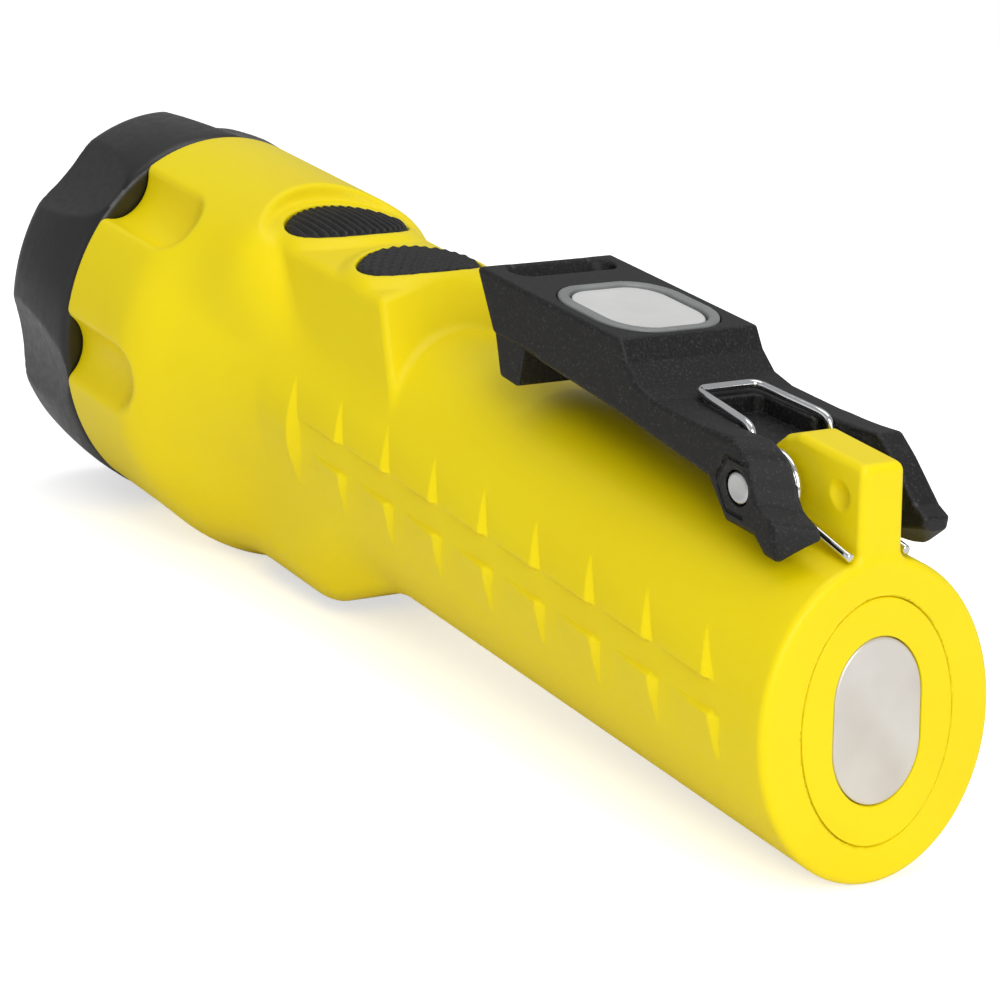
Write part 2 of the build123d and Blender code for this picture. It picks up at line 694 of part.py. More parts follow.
for name, button_x, half_x in BUTTONS:
    with BuildPart() as stem:
        with BuildSketch(level(button_x, 20.36)):
            Circle(STEM_R)
        extrude(amount=0.6)
    keep(stem, f"{name}_tact_stem")

    with BuildPart() as button:
        with BuildSketch(level(button_x, 22.5)):
            Ellipse(half_x - 0.3, BUTTON_HALF_Y - 0.3)
        extrude(amount=1.9)
        # raised texture: bars along X on the spot button, diamonds on the flood one
        with BuildSketch(level(button_x, 24.3)):
            Ellipse(half_x - 0.9, BUTTON_HALF_Y - 1.2)
            if name == "spot":
                with GridLocations(1, 1.3, 1, 15):
                    Rectangle(2 * half_x, 0.75, mode=Mode.INTERSECT)
            else:
                with GridLocations(1.5, 1.5, 9, 15):
                    Rectangle(1.0, 1.0, rotation=45, mode=Mode.INTERSECT)
        extrude(amount=0.5)
        # plunger on the underside
        with BuildSketch(level(button_x, 21.0)):
            Circle(1.58)
        extrude(amount=1.6)
    keep(button, f"{name}_button")

CONTACT_HALF_Y = 1.5
CONTACT_OUTLINE = [      # (x from contact, z): foot under the board, bent blade below
    (-1.4, 17.92), (1.4, 17.92), (1.4, 17.55), (0.3, 17.55), (0.3, 16.55),
    (-0.5, 16.25), (-0.8, 16.55), (-0.1, 16.8), (-0.1, 17.55), (-1.4, 17.55),
]

with BuildPart() as power_contacts:
    for contact_x in CONTACT_XS:
        with BuildSketch(side_plane(CONTACT_HALF_Y)):
            with BuildLine():
                Polyline(*[(contact_x + x, z) for x, z in CONTACT_OUTLINE], close=True)
            make_face()
        extrude(amount=2 * CONTACT_HALF_Y)
keep(power_contacts, "power_contacts")

# ------------------------------------------------------------- flood light
FLOOD_BOARD_Z = -18.7
LEAD_R = 0.42
LEAD_RUN_R = 16.95       # radius of the leads' run round the bore
LEAD_END = [(10.62, 13.6), (10.35, 14.9), (10.3, 16.4), (10.3, 17.88)]   # (y, z)

keep_slab("flood_lens", level(FLOOD_X, -23.5), FLOOD_GLASS, height=1.28)

with BuildPart() as flood_gasket:
    with BuildSketch(level(FLOOD_X, -22.2)):
        RectangleRounded(*FLOOD_GLASS)
        RectangleRounded(*grown(FLOOD_MODULE, 0.2), mode=Mode.SUBTRACT)
    extrude(amount=0.56)
keep(flood_gasket, "flood_gasket")

with BuildPart() as flood_reflector:
    with BuildSketch(level(FLOOD_X, -22.1)):
        RectangleRounded(*FLOOD_MODULE)
    extrude(amount=3.36)
    # tapered opening, wide at the window
    with BuildSketch(level(FLOOD_X, -22.11)):
        RectangleRounded(13.8, 14.0, 1.2)
    with BuildSketch(level(FLOOD_X, -18.73)):
        RectangleRounded(12.2, 8.6, 1.0)
    loft(mode=Mode.SUBTRACT)
keep(flood_reflector, "flood_reflector")

keep_slab("flood_board", level(FLOOD_X, FLOOD_BOARD_Z), FLOOD_MODULE, height=1.6)

with BuildPart() as flood_leds:
    with BuildSketch(level(FLOOD_X, FLOOD_BOARD_Z - 0.8)):
        with GridLocations(3.9, 1, 3, 1):
            Rectangle(3.2, 3.2)
    extrude(amount=0.78)
keep(flood_leds, "flood_leds")

with BuildPart() as flood_leads:
    for lead_x in (-107.55, -106.45):
        path = [(lead_x, *polar(LEAD_RUN_R, angle)) for angle in range(-76, 50, 7)]
        path += [(lead_x, y, z) for y, z in LEAD_END]
        with BuildLine() as lead:
            Spline(path)
        with BuildSketch(Plane(origin=lead.line @ 0, z_dir=lead.line % 0)):
            Circle(LEAD_R)
        sweep(path=lead.line)
keep(flood_leads, "flood_leads")

# -------------------------------------------------------------------- clip
CLIP_HALF = 12.2         # half width
CLIP_OPEN_DEG = 17.0
CLIP_OUTLINE = [         # (x, z), front top corner first, along the top to the finger tabs
    (-68.0, 34.2), (-36.8, 34.2), (-35.4, 31.6), (-33.0, 29.5), (-29.5, 28.8),
    (-20.5, 28.9), (-12.5, 29.6), (-9.2, 30.0), (-6.6, 27.9), (-2.4, 23.6),
    (-0.5, 22.7), (-0.9, 21.0), (-4.6, 18.0), (-8.2, 17.3), (-15.7, 18.4),
    (-18.9, 23.2), (-36.5, 24.9), (-57.3, 26.0), (-57.8, 20.0), (-62.2, 20.0),
]
CLIP_MAGNET_X = -47.3
CLIP_POCKET_Z = 29.5     # floor of the magnet pocket
CLIP_MAGNET_Z = 30.6
KEEPER_OUTLINE = (19.0, 20.5, 6.9)
PIN_HALF = 12.1          # half length of the clip pin
PIN_CUT_HALF = 20.0

with BuildPart() as clip_body:
    with BuildSketch(side_plane(CLIP_HALF)) as clip_side:
        with BuildLine():
            Polyline(*CLIP_OUTLINE, close=True)
        make_face()
        fillet(clip_side.vertices(), 0.45)
    extrude(amount=2 * CLIP_HALF)
    # narrower foot and the hollow underside of the arm
    with BuildSketch(level(-60.5, 19.0)):
        with Locations((0, -CLIP_HALF), (0, CLIP_HALF)):
            Rectangle(9.0, 1.6)
    extrude(amount=7.0, mode=Mode.SUBTRACT)
    with BuildSketch(level(-46.6, 20.0)):
        RectangleRounded(20.4, 19.4, 2.0)
    extrude(amount=7.8, mode=Mode.SUBTRACT)
    # strap slot behind the front edge
    with BuildSketch(level(-64.1, 20.0)):
        SlotOverall(18.2, 4.2, rotation=90)
    extrude(amount=20.0, mode=Mode.SUBTRACT)
    # pocket of the magnet
    with BuildSketch(level(CLIP_MAGNET_X, CLIP_POCKET_Z)):
        RectangleRounded(19.1, 20.6, 7.0)
    extrude(amount=8.0, mode=Mode.SUBTRACT)
    # spring recess on top, and the slot round lug and coils
    with BuildSketch(level(-23.5, 26.4)):
        RectangleRounded(11.0, 9.4, 1.5)
    extrude(amount=6.0, mode=Mode.SUBTRACT)
    with BuildSketch(level(-8.6, 10.0)):
        Rectangle(20.0, 14.8)
    extrude(amount=30.0, mode=Mode.SUBTRACT)
    with BuildSketch(side_plane(PIN_CUT_HALF)):
        with Locations((PIN_X, PIN_Z)):
            Circle(PIN_R + 0.05)
    extrude(amount=2 * PIN_CUT_HALF, mode=Mode.SUBTRACT)
    # the finger tabs hollow out round the handle, closed and fully open
    with BuildSketch(across(-40.0)):
        Circle(TAIL_R + 0.45)
    extrude(amount=45.0, mode=Mode.SUBTRACT)
    # the tail plane turned about the pin, as the handle lies to an open clip
    open_cos, open_sin = polar(1.0, CLIP_OPEN_DEG)
    opened = Plane(origin=(PIN_X - PIN_X * open_cos + PIN_Z * open_sin, 0,
                           PIN_Z - PIN_X * open_sin - PIN_Z * open_cos),
                   x_dir=(0, 1, 0), z_dir=(open_cos, 0, open_sin))
    with BuildSketch(opened):
        Circle(TAIL_R + 0.3)
    extrude(amount=-30.0, mode=Mode.SUBTRACT)
keep(clip_body, "clip_body")

with BuildPart() as clip_magnet_ring:
    with BuildSketch(level(CLIP_MAGNET_X, CLIP_MAGNET_Z)):
        RectangleRounded(*KEEPER_OUTLINE)
        RectangleRounded(16.5, 16.4, 5.3, mode=Mode.SUBTRACT)
    extrude(amount=3.8)
    chamfer(clip_magnet_ring.faces().sort_by(Axis.Z)[-1].edges(), 0.3)
keep(clip_magnet_ring, "clip_magnet_ring")

keep_slab("clip_keeper", level(CLIP_MAGNET_X, CLIP_POCKET_Z + 0.05), KEEPER_OUTLINE,
          height=1.0)
keep_slab("clip_magnet", level(CLIP_MAGNET_X, CLIP_MAGNET_Z), (16.4, 16.3, 5.2),
          height=3.45, bevel=0.2)

with BuildPart() as clip_pin:
    with BuildSketch(side_plane(PIN_HALF)):
        with Locations((PIN_X, PIN_Z)):
            Circle(PIN_R - 0.005)
    extrude(amount=2 * PIN_HALF)
    chamfer(clip_pin.edges(), 0.3)
keep(clip_pin, "clip_pin")

# ------------------------------------------------------------- clip spring
# Double torsion spring: a bridge bar over the clip, a leg down each side of
# the lug, a coil round the pin and a tail leg that bears on the handle.
SPRING_WIRE_R = 0.5
COIL_R = 3.05
COIL_TURNS = 2.25
COIL_STEPS = 27
COIL_OUTER_Y = 6.7       # where the coil starts
COIL_TRAVEL = 2.36       # how far it winds in towards the lug
# (x, distance from the XZ plane, z)
BRIDGE_LEG = [
    (-29.3, 0.0, 29.75), (-29.3, 2.6, 29.75), (-29.2, 4.3, 29.75), (-28.6, 5.1, 29.72),
    (-27.4, 5.4, 29.7), (-24.0, 5.75, 29.62), (-20.5, 6.2, 29.55), (-18.2, 6.5, 29.45),
    (-17.2, 6.62, 29.0), (-16.75, 6.68, 28.0), (-16.6, COIL_OUTER_Y, 26.4),
]
TAIL_LEG = [
    (-11.0, 4.36, 20.62), (-8.0, 4.45, 20.4), (-4.0, 4.6, 19.75), (-0.8, 4.7, 19.2),
]


def spring_half(side):
    """Wire points of the half on one side, from the middle of the bridge bar."""
    points = list(BRIDGE_LEG)
    for i in range(COIL_STEPS + 1):
        angle = math.radians(180 + 360 * COIL_TURNS * i / COIL_STEPS)
        points.append((PIN_X + COIL_R * math.cos(angle),
                       COIL_OUTER_Y - COIL_TRAVEL * i / COIL_STEPS,
                       PIN_Z + COIL_R * math.sin(angle)))
    points += TAIL_LEG
    return [(x, side * y, z) for x, y, z in points]


with BuildPart() as clip_spring:
    for side in (-1, 1):
        with BuildLine() as wire:
            Spline(spring_half(side))
        with BuildSketch(Plane(origin=wire.line @ 0, z_dir=wire.line % 0)):
            Circle(SPRING_WIRE_R)
        sweep(path=wire.line, is_frenet=True)
keep(clip_spring, "clip_spring")
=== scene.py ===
import json
import math

import bpy
import numpy as np
from mathutils import Matrix, Vector


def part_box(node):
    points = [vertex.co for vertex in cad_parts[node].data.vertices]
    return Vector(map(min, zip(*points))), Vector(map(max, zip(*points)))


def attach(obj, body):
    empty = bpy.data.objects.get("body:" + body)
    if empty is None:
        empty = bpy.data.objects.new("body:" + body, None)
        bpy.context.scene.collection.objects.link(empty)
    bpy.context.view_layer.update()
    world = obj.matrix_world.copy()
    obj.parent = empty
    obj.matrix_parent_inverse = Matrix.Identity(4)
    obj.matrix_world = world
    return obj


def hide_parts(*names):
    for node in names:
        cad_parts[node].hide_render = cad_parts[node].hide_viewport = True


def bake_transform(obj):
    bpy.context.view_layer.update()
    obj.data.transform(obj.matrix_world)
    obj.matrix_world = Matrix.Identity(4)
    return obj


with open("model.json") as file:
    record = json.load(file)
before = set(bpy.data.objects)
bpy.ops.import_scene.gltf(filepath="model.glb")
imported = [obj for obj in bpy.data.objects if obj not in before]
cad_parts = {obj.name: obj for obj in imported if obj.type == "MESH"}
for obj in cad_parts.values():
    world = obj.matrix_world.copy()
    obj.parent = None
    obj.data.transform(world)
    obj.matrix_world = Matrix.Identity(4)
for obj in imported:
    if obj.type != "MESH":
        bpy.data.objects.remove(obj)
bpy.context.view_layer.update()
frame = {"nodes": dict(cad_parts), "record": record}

MM = 0.001
F = np.float32


# ------------------------------------------------------------------ fields
# Signed fields in millimetres: negative inside.  They take arrays that
# broadcast, so a grid can pass x, y and z as thin axes.
def sstep(a, b, t):
    t = np.clip((t - a) / (b - a), 0, 1)
    return t * t * (3 - 2 * t)


def smin(a, b, k):
    h = np.clip(0.5 + 0.5 * (b - a) / k, 0, 1)
    return b + (a - b) * h - k * h * (1 - h)


def smax(a, b, k):
    return -smin(-a, -b, k)


def rmax(a, b, r):
    """Intersection whose edge is rounded to radius r."""
    u, v = a + r, b + r
    return (np.minimum(np.maximum(u, v), 0)
            + np.hypot(np.maximum(u, 0), np.maximum(v, 0)) - r)


def rmin(a, b, r):
    """Union with a fillet of radius r."""
    return -rmax(-a, -b, r)


def cut(d, tool, r=0.15):
    return rmax(d, -tool, r)


def ellipse(u, v, a, b):
    k0 = np.sqrt((u / a) ** 2 + (v / b) ** 2) + 1e-6
    k1 = np.sqrt((u / (a * a)) ** 2 + (v / (b * b)) ** 2) + 1e-6
    return k0 * (k0 - 1.0) / k1


def rrect(u, v, hu, hv, r):
    a, b = np.abs(u) - hu + r, np.abs(v) - hv + r
    return (np.minimum(np.maximum(a, b), 0)
            + np.hypot(np.maximum(a, 0), np.maximum(b, 0)) - r)


def poly(u, v, pts):
    d, s = None, None
    j = len(pts) - 1
    for i in range(len(pts)):
        eu, ev = pts[j][0] - pts[i][0], pts[j][1] - pts[i][1]
        wu, wv = u - pts[i][0], v - pts[i][1]
        t = np.clip((wu * eu + wv * ev) / (eu * eu + ev * ev), 0, 1)
        q = (wu - eu * t) ** 2 + (wv - ev * t) ** 2
        c1, c2, c3 = v >= pts[i][1], v < pts[j][1], eu * wv > ev * wu
        flip = (c1 & c2 & c3) | (~c1 & ~c2 & ~c3)
        d = q if d is None else np.minimum(d, q)
        s = flip if s is None else s ^ flip
        j = i
    return np.where(s, -1.0, 1.0).astype(F) * np.sqrt(d)


def inset(pts, r):
    """A polygon moved inwards by r, so that its field less r has round corners."""
    p = np.array(pts, float)
    nxt, prv = np.roll(p, -1, 0), np.roll(p, 1, 0)
    area = np.sum(p[:, 0] * nxt[:, 1] - nxt[:, 0] * p[:, 1])
    sgn = 1.0 if area > 0 else -1.0
    e1, e2 = p - prv, nxt - p
    e1 /= np.linalg.norm(e1, axis=1)[:, None]
    e2 /= np.linalg.norm(e2, axis=1)[:, None]
    n1 = sgn * np.stack([-e1[:, 1], e1[:, 0]], 1)
    n2 = sgn * np.stack([-e2[:, 1], e2[:, 0]], 1)
    b = n1 + n2
    return [tuple(q) for q in p + b * (r / np.maximum(1 + np.sum(n1 * n2, 1), 0.3))[:, None]]


def smooth_table(pts, sigma):
    """A profile through pts, sampled finely and softened, as a function of x."""
    pts = sorted(pts)
    xs = np.arange(pts[0][0] - 12, pts[-1][0] + 12, 0.2)
    px, pr = np.array([p[0] for p in pts]), np.array([p[1] for p in pts])
    r = np.interp(xs, px, pr)
    k = np.exp(-0.5 * (np.arange(-60, 61) * 0.2 / sigma) ** 2)
    k /= k.sum()
    r = np.convolve(np.pad(r, 60, mode="edge"), k, mode="valid")
    return lambda x: np.interp(x, xs, r).astype(F)


# ------------------------------------------------------------------ mesher
def surface(name, f, lo, hi, h, steps=3):
    """A closed mesh of f = 0 by surface nets.  Points are then moved onto the
    field, and the field's own slope gives the shading normals."""
    ax = [np.arange(lo[i] - 1.6 * h, hi[i] + 2.6 * h, h).astype(F) for i in range(3)]
    n = [len(a) for a in ax]
    val = np.empty(n, F)
    for i in range(0, n[0], 8):
        val[i:i + 8] = np.broadcast_to(
            f(ax[0][i:i + 8, None, None], ax[1][None, :, None], ax[2][None, None, :]),
            (len(ax[0][i:i + 8]), n[1], n[2]))
    ins = val < 0
    c = np.zeros((n[0] - 1, n[1] - 1, n[2] - 1), np.uint8)
    offs = [(a, b, d) for a in (0, 1) for b in (0, 1) for d in (0, 1)]
    for a, b, d in offs:
        c += ins[a:n[0] - 1 + a, b:n[1] - 1 + b, d:n[2] - 1 + d]
    act = (c > 0) & (c < 8)
    idx = np.argwhere(act)
    cid = np.full(act.shape, -1, np.int64)
    cid[act] = np.arange(len(idx))
    cv = np.stack([val[idx[:, 0] + a, idx[:, 1] + b, idx[:, 2] + d] for a, b, d in offs], 1)
    acc, cnt = np.zeros((len(idx), 3)), np.zeros(len(idx))
    for p in range(8):
        for q in range(p + 1, 8):
            if sum(abs(offs[p][i] - offs[q][i]) for i in range(3)) != 1:
                continue
            va, vb = cv[:, p], cv[:, q]
            m = (va < 0) != (vb < 0)
            t = va[m] / (va[m] - vb[m])
            op, oq = np.array(offs[p], float), np.array(offs[q], float)
            acc[m] += op + (oq - op) * t[:, None]
            cnt[m] += 1
    P = np.array([a[0] for a in ax], float) + (idx + acc / cnt[:, None]) * h
    start = P.copy()

    def grad(Q, e):
        g = []
        for i in range(3):
            a, b = Q.copy(), Q.copy()
            a[:, i] += e
            b[:, i] -= e
            g.append((f(a[:, 0], a[:, 1], a[:, 2]) - f(b[:, 0], b[:, 1], b[:, 2])) / (2 * e))
        return np.stack(g, 1)

    for _ in range(steps):
        v0 = f(P[:, 0], P[:, 1], P[:, 2])
        g = grad(P, 0.12 * h)
        s = -(v0 / np.maximum((g * g).sum(1), 0.05))[:, None] * g
        length = np.linalg.norm(s, axis=1)[:, None] + 1e-9
        P += s * np.minimum(1, 0.35 * h / length)
        off = P - start
        far = np.linalg.norm(off, axis=1)[:, None] + 1e-9
        P = start + off * np.minimum(1, 0.7 * h / far)
    nrm = grad(P, 0.3 * h)
    nrm /= np.linalg.norm(nrm, axis=1)[:, None] + 1e-9

    quads = []
    for axis in range(3):
        u, w = (axis + 1) % 3, (axis + 2) % 3
        sa, sb = [slice(None)] * 3, [slice(None)] * 3
        sa[axis], sb[axis] = slice(0, n[axis] - 1), slice(1, n[axis])
        A, B = ins[tuple(sa)], ins[tuple(sb)]
        e = np.argwhere(A != B)
        out = A[e[:, 0], e[:, 1], e[:, 2]]
        ok = (e[:, u] > 0) & (e[:, w] > 0) & (e[:, u] < n[u] - 1) & (e[:, w] < n[w] - 1)
        e, out = e[ok], out[ok]

        def cell(du, dw):
            k = e.copy()
            k[:, u] += du
            k[:, w] += dw
            return cid[k[:, 0], k[:, 1], k[:, 2]]

        q = np.stack([cell(-1, -1), cell(0, -1), cell(0, 0), cell(-1, 0)], 1)
        q[~out] = q[~out][:, ::-1]
        quads.append(q)
    return make_mesh(name, P, np.concatenate(quads), nrm)


def make_mesh(name, P, faces, nrm=None, sharp=None):
    """faces: an (n, k) array, or a list of index lists.  P in millimetres."""
    me = bpy.data.meshes.new(name)
    P = np.asarray(P, float) * MM
    if isinstance(faces, np.ndarray):
        k = faces.shape[1]
        me.vertices.add(len(P))
        me.vertices.foreach_set("co", P.astype(F).ravel())
        me.loops.add(faces.size)
        me.loops.foreach_set("vertex_index", faces.astype(np.int32).ravel())
        me.polygons.add(len(faces))
        me.polygons.foreach_set("loop_start", np.arange(0, faces.size, k, dtype=np.int32))
        me.update(calc_edges=True)
    else:
        me.from_pydata([tuple(p) for p in P], [], faces)
    me.validate()
    me.polygons.foreach_set("use_smooth", np.ones(len(me.polygons), bool))
    if sharp is not None:
        me.set_sharp_from_angle(angle=math.radians(sharp))
    if nrm is not None and len(nrm) == len(me.vertices):
        me.normals_split_custom_set_from_vertices([tuple(v) for v in nrm])
    me.update()
    ob = bpy.data.objects.new(name, me)
    bpy.context.scene.collection.objects.link(ob)
    return ob


def grid_faces(rows, cols, wrap_rows=False):
    """Quads between rings of cols points each."""
    r = np.arange(rows if wrap_rows else rows - 1)
    c = np.arange(cols)
    R, C = np.meshgrid(r, c, indexing="ij")
    R2, C2 = (R + 1) % rows, (C + 1) % cols
    return np.stack([R * cols + C, R * cols + C2, R2 * cols + C2, R2 * cols + C], -1).reshape(-1, 4)


def tube(name, pts, radius, nseg=16):
    """A round wire along pts, with slightly rounded cut ends."""
    p = np.array(pts, float)
    t = np.gradient(p, axis=0)
    t /= np.linalg.norm(t, axis=1)[:, None]
    up = np.array([0, 0, 1.0]) if abs(t[0][2]) < 0.9 else np.array([0, 1.0, 0])
    a = np.cross(t[0], up)
    a /= np.linalg.norm(a)
    rings = []

    def ring(c, tt, aa, r):
        b = np.cross(tt, aa)
        ang = np.linspace(0, 2 * math.pi, nseg, endpoint=False)
        return c + r * (np.cos(ang)[:, None] * aa + np.sin(ang)[:, None] * b)

    for i in range(len(p)):
        a = a - t[i] * np.dot(a, t[i])
        a /= np.linalg.norm(a)
        if i == 0:
            rings += [ring(p[0] - t[0] * 0.0, t[0], a, radius * 0.72),
                      ring(p[0] + t[0] * 0.06, t[0], a, radius * 0.93),
                      ring(p[0] + t[0] * 0.16, t[0], a, radius)]
        elif i == len(p) - 1:
            rings += [ring(p[-1] - t[-1] * 0.16, t[-1], a, radius),
                      ring(p[-1] - t[-1] * 0.06, t[-1], a, radius * 0.93),
                      ring(p[-1], t[-1], a, radius * 0.72)]
        else:
            rings.append(ring(p[i], t[i], a, radius))
    v = np.concatenate(rings + [p[:1], p[-1:]])
    fs = grid_faces(len(rings), nseg).tolist()
    fs = [f[::-1] for f in fs]
    c0, c1 = len(rings) * nseg, len(rings) * nseg + 1
    last = (len(rings) - 1) * nseg
    for i in range(nseg):
        j = (i + 1) % nseg
        fs.append([c0, i, j])
        fs.append([c1, last + j, last + i])
    ob = make_mesh(name, v, fs, sharp=50)
    return ob


def catmull(pts, per=8):
    p = np.array([2 * np.array(pts[0], float) - pts[1]] + [np.array(q, float) for q in pts]
                 + [2 * np.array(pts[-1], float) - pts[-2]])
    out = []
    for i in range(1, len(p) - 2):
        for s in np.linspace(0, 1, per, endpoint=False):
            a, b, c, d = p[i - 1], p[i], p[i + 1], p[i + 2]
            out.append(0.5 * (2 * b + (c - a) * s + (2 * a - 5 * b + 4 * c - d) * s ** 2
                              + (3 * b - a - 3 * c + d) * s ** 3))
    out.append(p[-2])
    return np.array(out)


def lathe(name, profile, axis_point, n=96):
    """Closed turned piece about a line parallel to Y: profile of (y, radius)."""
    ang = np.linspace(0, 2 * math.pi, n, endpoint=False)
    v = [[(axis_point[0] + r * math.cos(a), y, axis_point[1] + r * math.sin(a)) for a in ang]
         for y, r in profile]
    v = np.concatenate([np.array(q) for q in v]
                       + [np.array([[axis_point[0], profile[0][0], axis_point[1]],
                                    [axis_point[0], profile[-1][0], axis_point[1]]])])
    fs = grid_faces(len(profile), n).tolist()
    c0, last = len(profile) * n, (len(profile) - 1) * n
    for i in range(n):
        j = (i + 1) % n
        fs.append([c0, j, i])
        fs.append([c0 + 1, last + i, last + j])
    return make_mesh(name, v, fs, sharp=35)


# --------------------------------------------------------------- materials
def rgb(r, g, b):
    """sRGB 0..255 to linear."""
    def c(v):
        v /= 255.0
        return v / 12.92 if v <= 0.04045 else ((v + 0.055) / 1.055) ** 2.4
    return (c(r), c(g), c(b), 1.0)


class Mat:
    def __init__(self, name):
        self.m = bpy.data.materials.new(name)
        self.m.use_nodes = True
        self.t = self.m.node_tree
        self.b = self.t.nodes["Principled BSDF"]
        self.co = self.t.nodes.new("ShaderNodeTexCoord")

    def set(self, **kw):
        for k, v in kw.items():
            self.b.inputs[k.replace("_", " ")].default_value = v
        return self

    def noise(self, scale, detail=3.0, rough=0.5, stretch=None, dist=0.0):
        nd = self.t.nodes.new("ShaderNodeTexNoise")
        nd.inputs["Scale"].default_value = scale
        nd.inputs["Detail"].default_value = detail
        nd.inputs["Roughness"].default_value = rough
        nd.inputs["Distortion"].default_value = dist
        src = self.co.outputs["Object"]
        if stretch:
            mp = self.t.nodes.new("ShaderNodeMapping")
            mp.inputs["Scale"].default_value = stretch
            self.t.links.new(src, mp.inputs["Vector"])
            src = mp.outputs["Vector"]
        self.t.links.new(src, nd.inputs["Vector"])
        return nd.outputs["Fac"]

    def voronoi(self, scale):
        nd = self.t.nodes.new("ShaderNodeTexVoronoi")
        nd.inputs["Scale"].default_value = scale
        self.t.links.new(self.co.outputs["Object"], nd.inputs["Vector"])
        return nd.outputs["Distance"]

    def ramp(self, fac, stops):
        nd = self.t.nodes.new("ShaderNodeValToRGB")
        while len(nd.color_ramp.elements) < len(stops):
            nd.color_ramp.elements.new(0.5)
        for e, (pos, col) in zip(nd.color_ramp.elements, stops):
            e.position = pos
            e.color = col if len(col) == 4 else (*col, 1)
        self.t.links.new(fac, nd.inputs["Fac"])
        return nd.outputs["Color"]

    def span(self, fac, a, b, lo=0.3, hi=0.7):
        nd = self.t.nodes.new("ShaderNodeMapRange")
        nd.inputs["From Min"].default_value = lo
        nd.inputs["From Max"].default_value = hi
        nd.inputs["To Min"].default_value = a
        nd.inputs["To Max"].default_value = b
        self.t.links.new(fac, nd.inputs["Value"])
        return nd.outputs["Result"]

    def mix(self, fac, a, b, mode="MIX"):
        nd = self.t.nodes.new("ShaderNodeMix")
        nd.data_type = "RGBA"
        nd.blend_type = mode
        for sock, v in ((nd.inputs[0], fac), (nd.inputs[6], a), (nd.inputs[7], b)):
            if hasattr(v, "links"):
                self.t.links.new(v, sock)
            else:
                sock.default_value = v
        return nd.outputs[2]

    def math(self, op, a, b):
        nd = self.t.nodes.new("ShaderNodeMath")
        nd.operation = op
        for sock, v in ((nd.inputs[0], a), (nd.inputs[1], b)):
            if hasattr(v, "links"):
                self.t.links.new(v, sock)
            else:
                sock.default_value = v
        return nd.outputs[0]

    # mask of convex edges from pointiness; the materials use it to paint highlights on edges
    def edge(self, lo=0.52, hi=0.6):
        nd = self.t.nodes.new("ShaderNodeNewGeometry")
        return self.span(nd.outputs["Pointiness"], 0.0, 1.0, lo, hi)

    def bump(self, height, dist_mm, strength=1.0):
        nd = self.t.nodes.new("ShaderNodeBump")
        nd.inputs["Strength"].default_value = strength
        nd.inputs["Distance"].default_value = dist_mm * MM
        self.t.links.new(height, nd.inputs["Height"])
        prev = self.b.inputs["Normal"].links
        if prev:
            self.t.links.new(prev[0].from_socket, nd.inputs["Normal"])
        self.t.links.new(nd.outputs["Normal"], self.b.inputs["Normal"])
        return self

    def to(self, out, name):
        self.t.links.new(out, self.b.inputs[name])
        return self


def mat_yellow():
    m = Mat("yellow_shell")
    broad = m.noise(38, 2.0)
    fine = m.noise(900, 3.0, 0.6)
    col = m.ramp(broad, [(0.30, rgb(248, 222, 2)), (0.70, rgb(252, 228, 4))])
    col = m.mix(m.span(fine, 0.0, 0.06), col, rgb(255, 238, 40))
    # painted highlight: convex edges, found by pointiness, are mixed towards a paler yellow
    col = m.mix(m.math("MULTIPLY", m.edge(0.53, 0.62), 0.16), col, rgb(255, 238, 60))
    m.to(col, "Base Color")
    m.to(m.span(fine, 0.36, 0.46), "Roughness")
    m.set(IOR=1.5, Subsurface_Weight=0.16, Subsurface_Radius=(1.0, 0.75, 0.15),
          Subsurface_Scale=0.0018, Specular_IOR_Level=0.26)
    m.bump(fine, 0.004, 0.8)
    m.bump(m.noise(260, 2.0), 0.012, 0.5)
    return m.m


def mat_clip():
    m = Mat("black_clip")
    grain = m.noise(3000, 3.0, 0.6)
    spots = m.voronoi(2600)
    col = m.ramp(grain, [(0.40, rgb(8, 8, 9)), (0.56, rgb(20, 20, 21)),
                         (0.70, rgb(58, 58, 59))])
    # painted highlight: convex edges, found by pointiness, are mixed towards grey
    col = m.mix(m.math("MULTIPLY", m.edge(0.52, 0.60), 0.3), col, rgb(90, 90, 90))
    m.to(col, "Base Color")
    m.to(m.span(grain, 0.46, 0.66), "Roughness")
    m.set(IOR=1.5, Specular_IOR_Level=0.38)
    m.bump(grain, 0.022, 0.7)
    m.bump(spots, 0.008, 0.5)
    return m.m


def mat_bezel():
    m = Mat("black_bezel")
    g = m.noise(700, 3.0, 0.55)
    broad = m.noise(45, 2.0)
    col = m.ramp(broad, [(0.3, rgb(7, 7, 8)), (0.7, rgb(11, 11, 12))])
    # painted highlight: convex edges, found by pointiness, are mixed towards grey
    col = m.mix(m.math("MULTIPLY", m.edge(0.52, 0.6), 0.2), col, rgb(70, 70, 72))
    m.to(col, "Base Color")
    m.to(m.span(g, 0.33, 0.45), "Roughness")
    m.set(IOR=1.52, Specular_IOR_Level=0.6)
    m.bump(g, 0.0018, 0.5)
    return m.m


def mat_plate(name, base, tint):
    """Matt-bright plated plate: fine lapping lines over a soft cloud."""
    m = Mat(name)
    g = m.noise(700, 4.0, 0.6, (1, 0.25, 1))
    cloud = m.noise(110, 2.0)
    m.to(m.ramp(cloud, [(0.35, base), (0.75, tint)]), "Base Color")
    m.to(m.span(g, 0.30, 0.38), "Roughness")
    m.set(Metallic=0.45, Specular_IOR_Level=0.6)
    m.bump(g, 0.0006, 0.5)
    return m.m


def mat_rubber(name, lo, hi, r0=0.55, r1=0.75, grain=1500):
    m = Mat(name)
    g = m.noise(grain, 3.0, 0.6)
    col = m.ramp(g, [(0.35, lo), (0.72, hi)])
    # painted highlight: convex edges and rib crests, found by pointiness, are mixed towards grey
    col = m.mix(m.math("MULTIPLY", m.edge(0.52, 0.6), 0.35), col, rgb(95, 95, 95))
    m.to(col, "Base Color")
    m.to(m.span(g, r0, r1), "Roughness")
    m.set(IOR=1.45)
    m.bump(g, 0.015, 0.8)
    return m.m


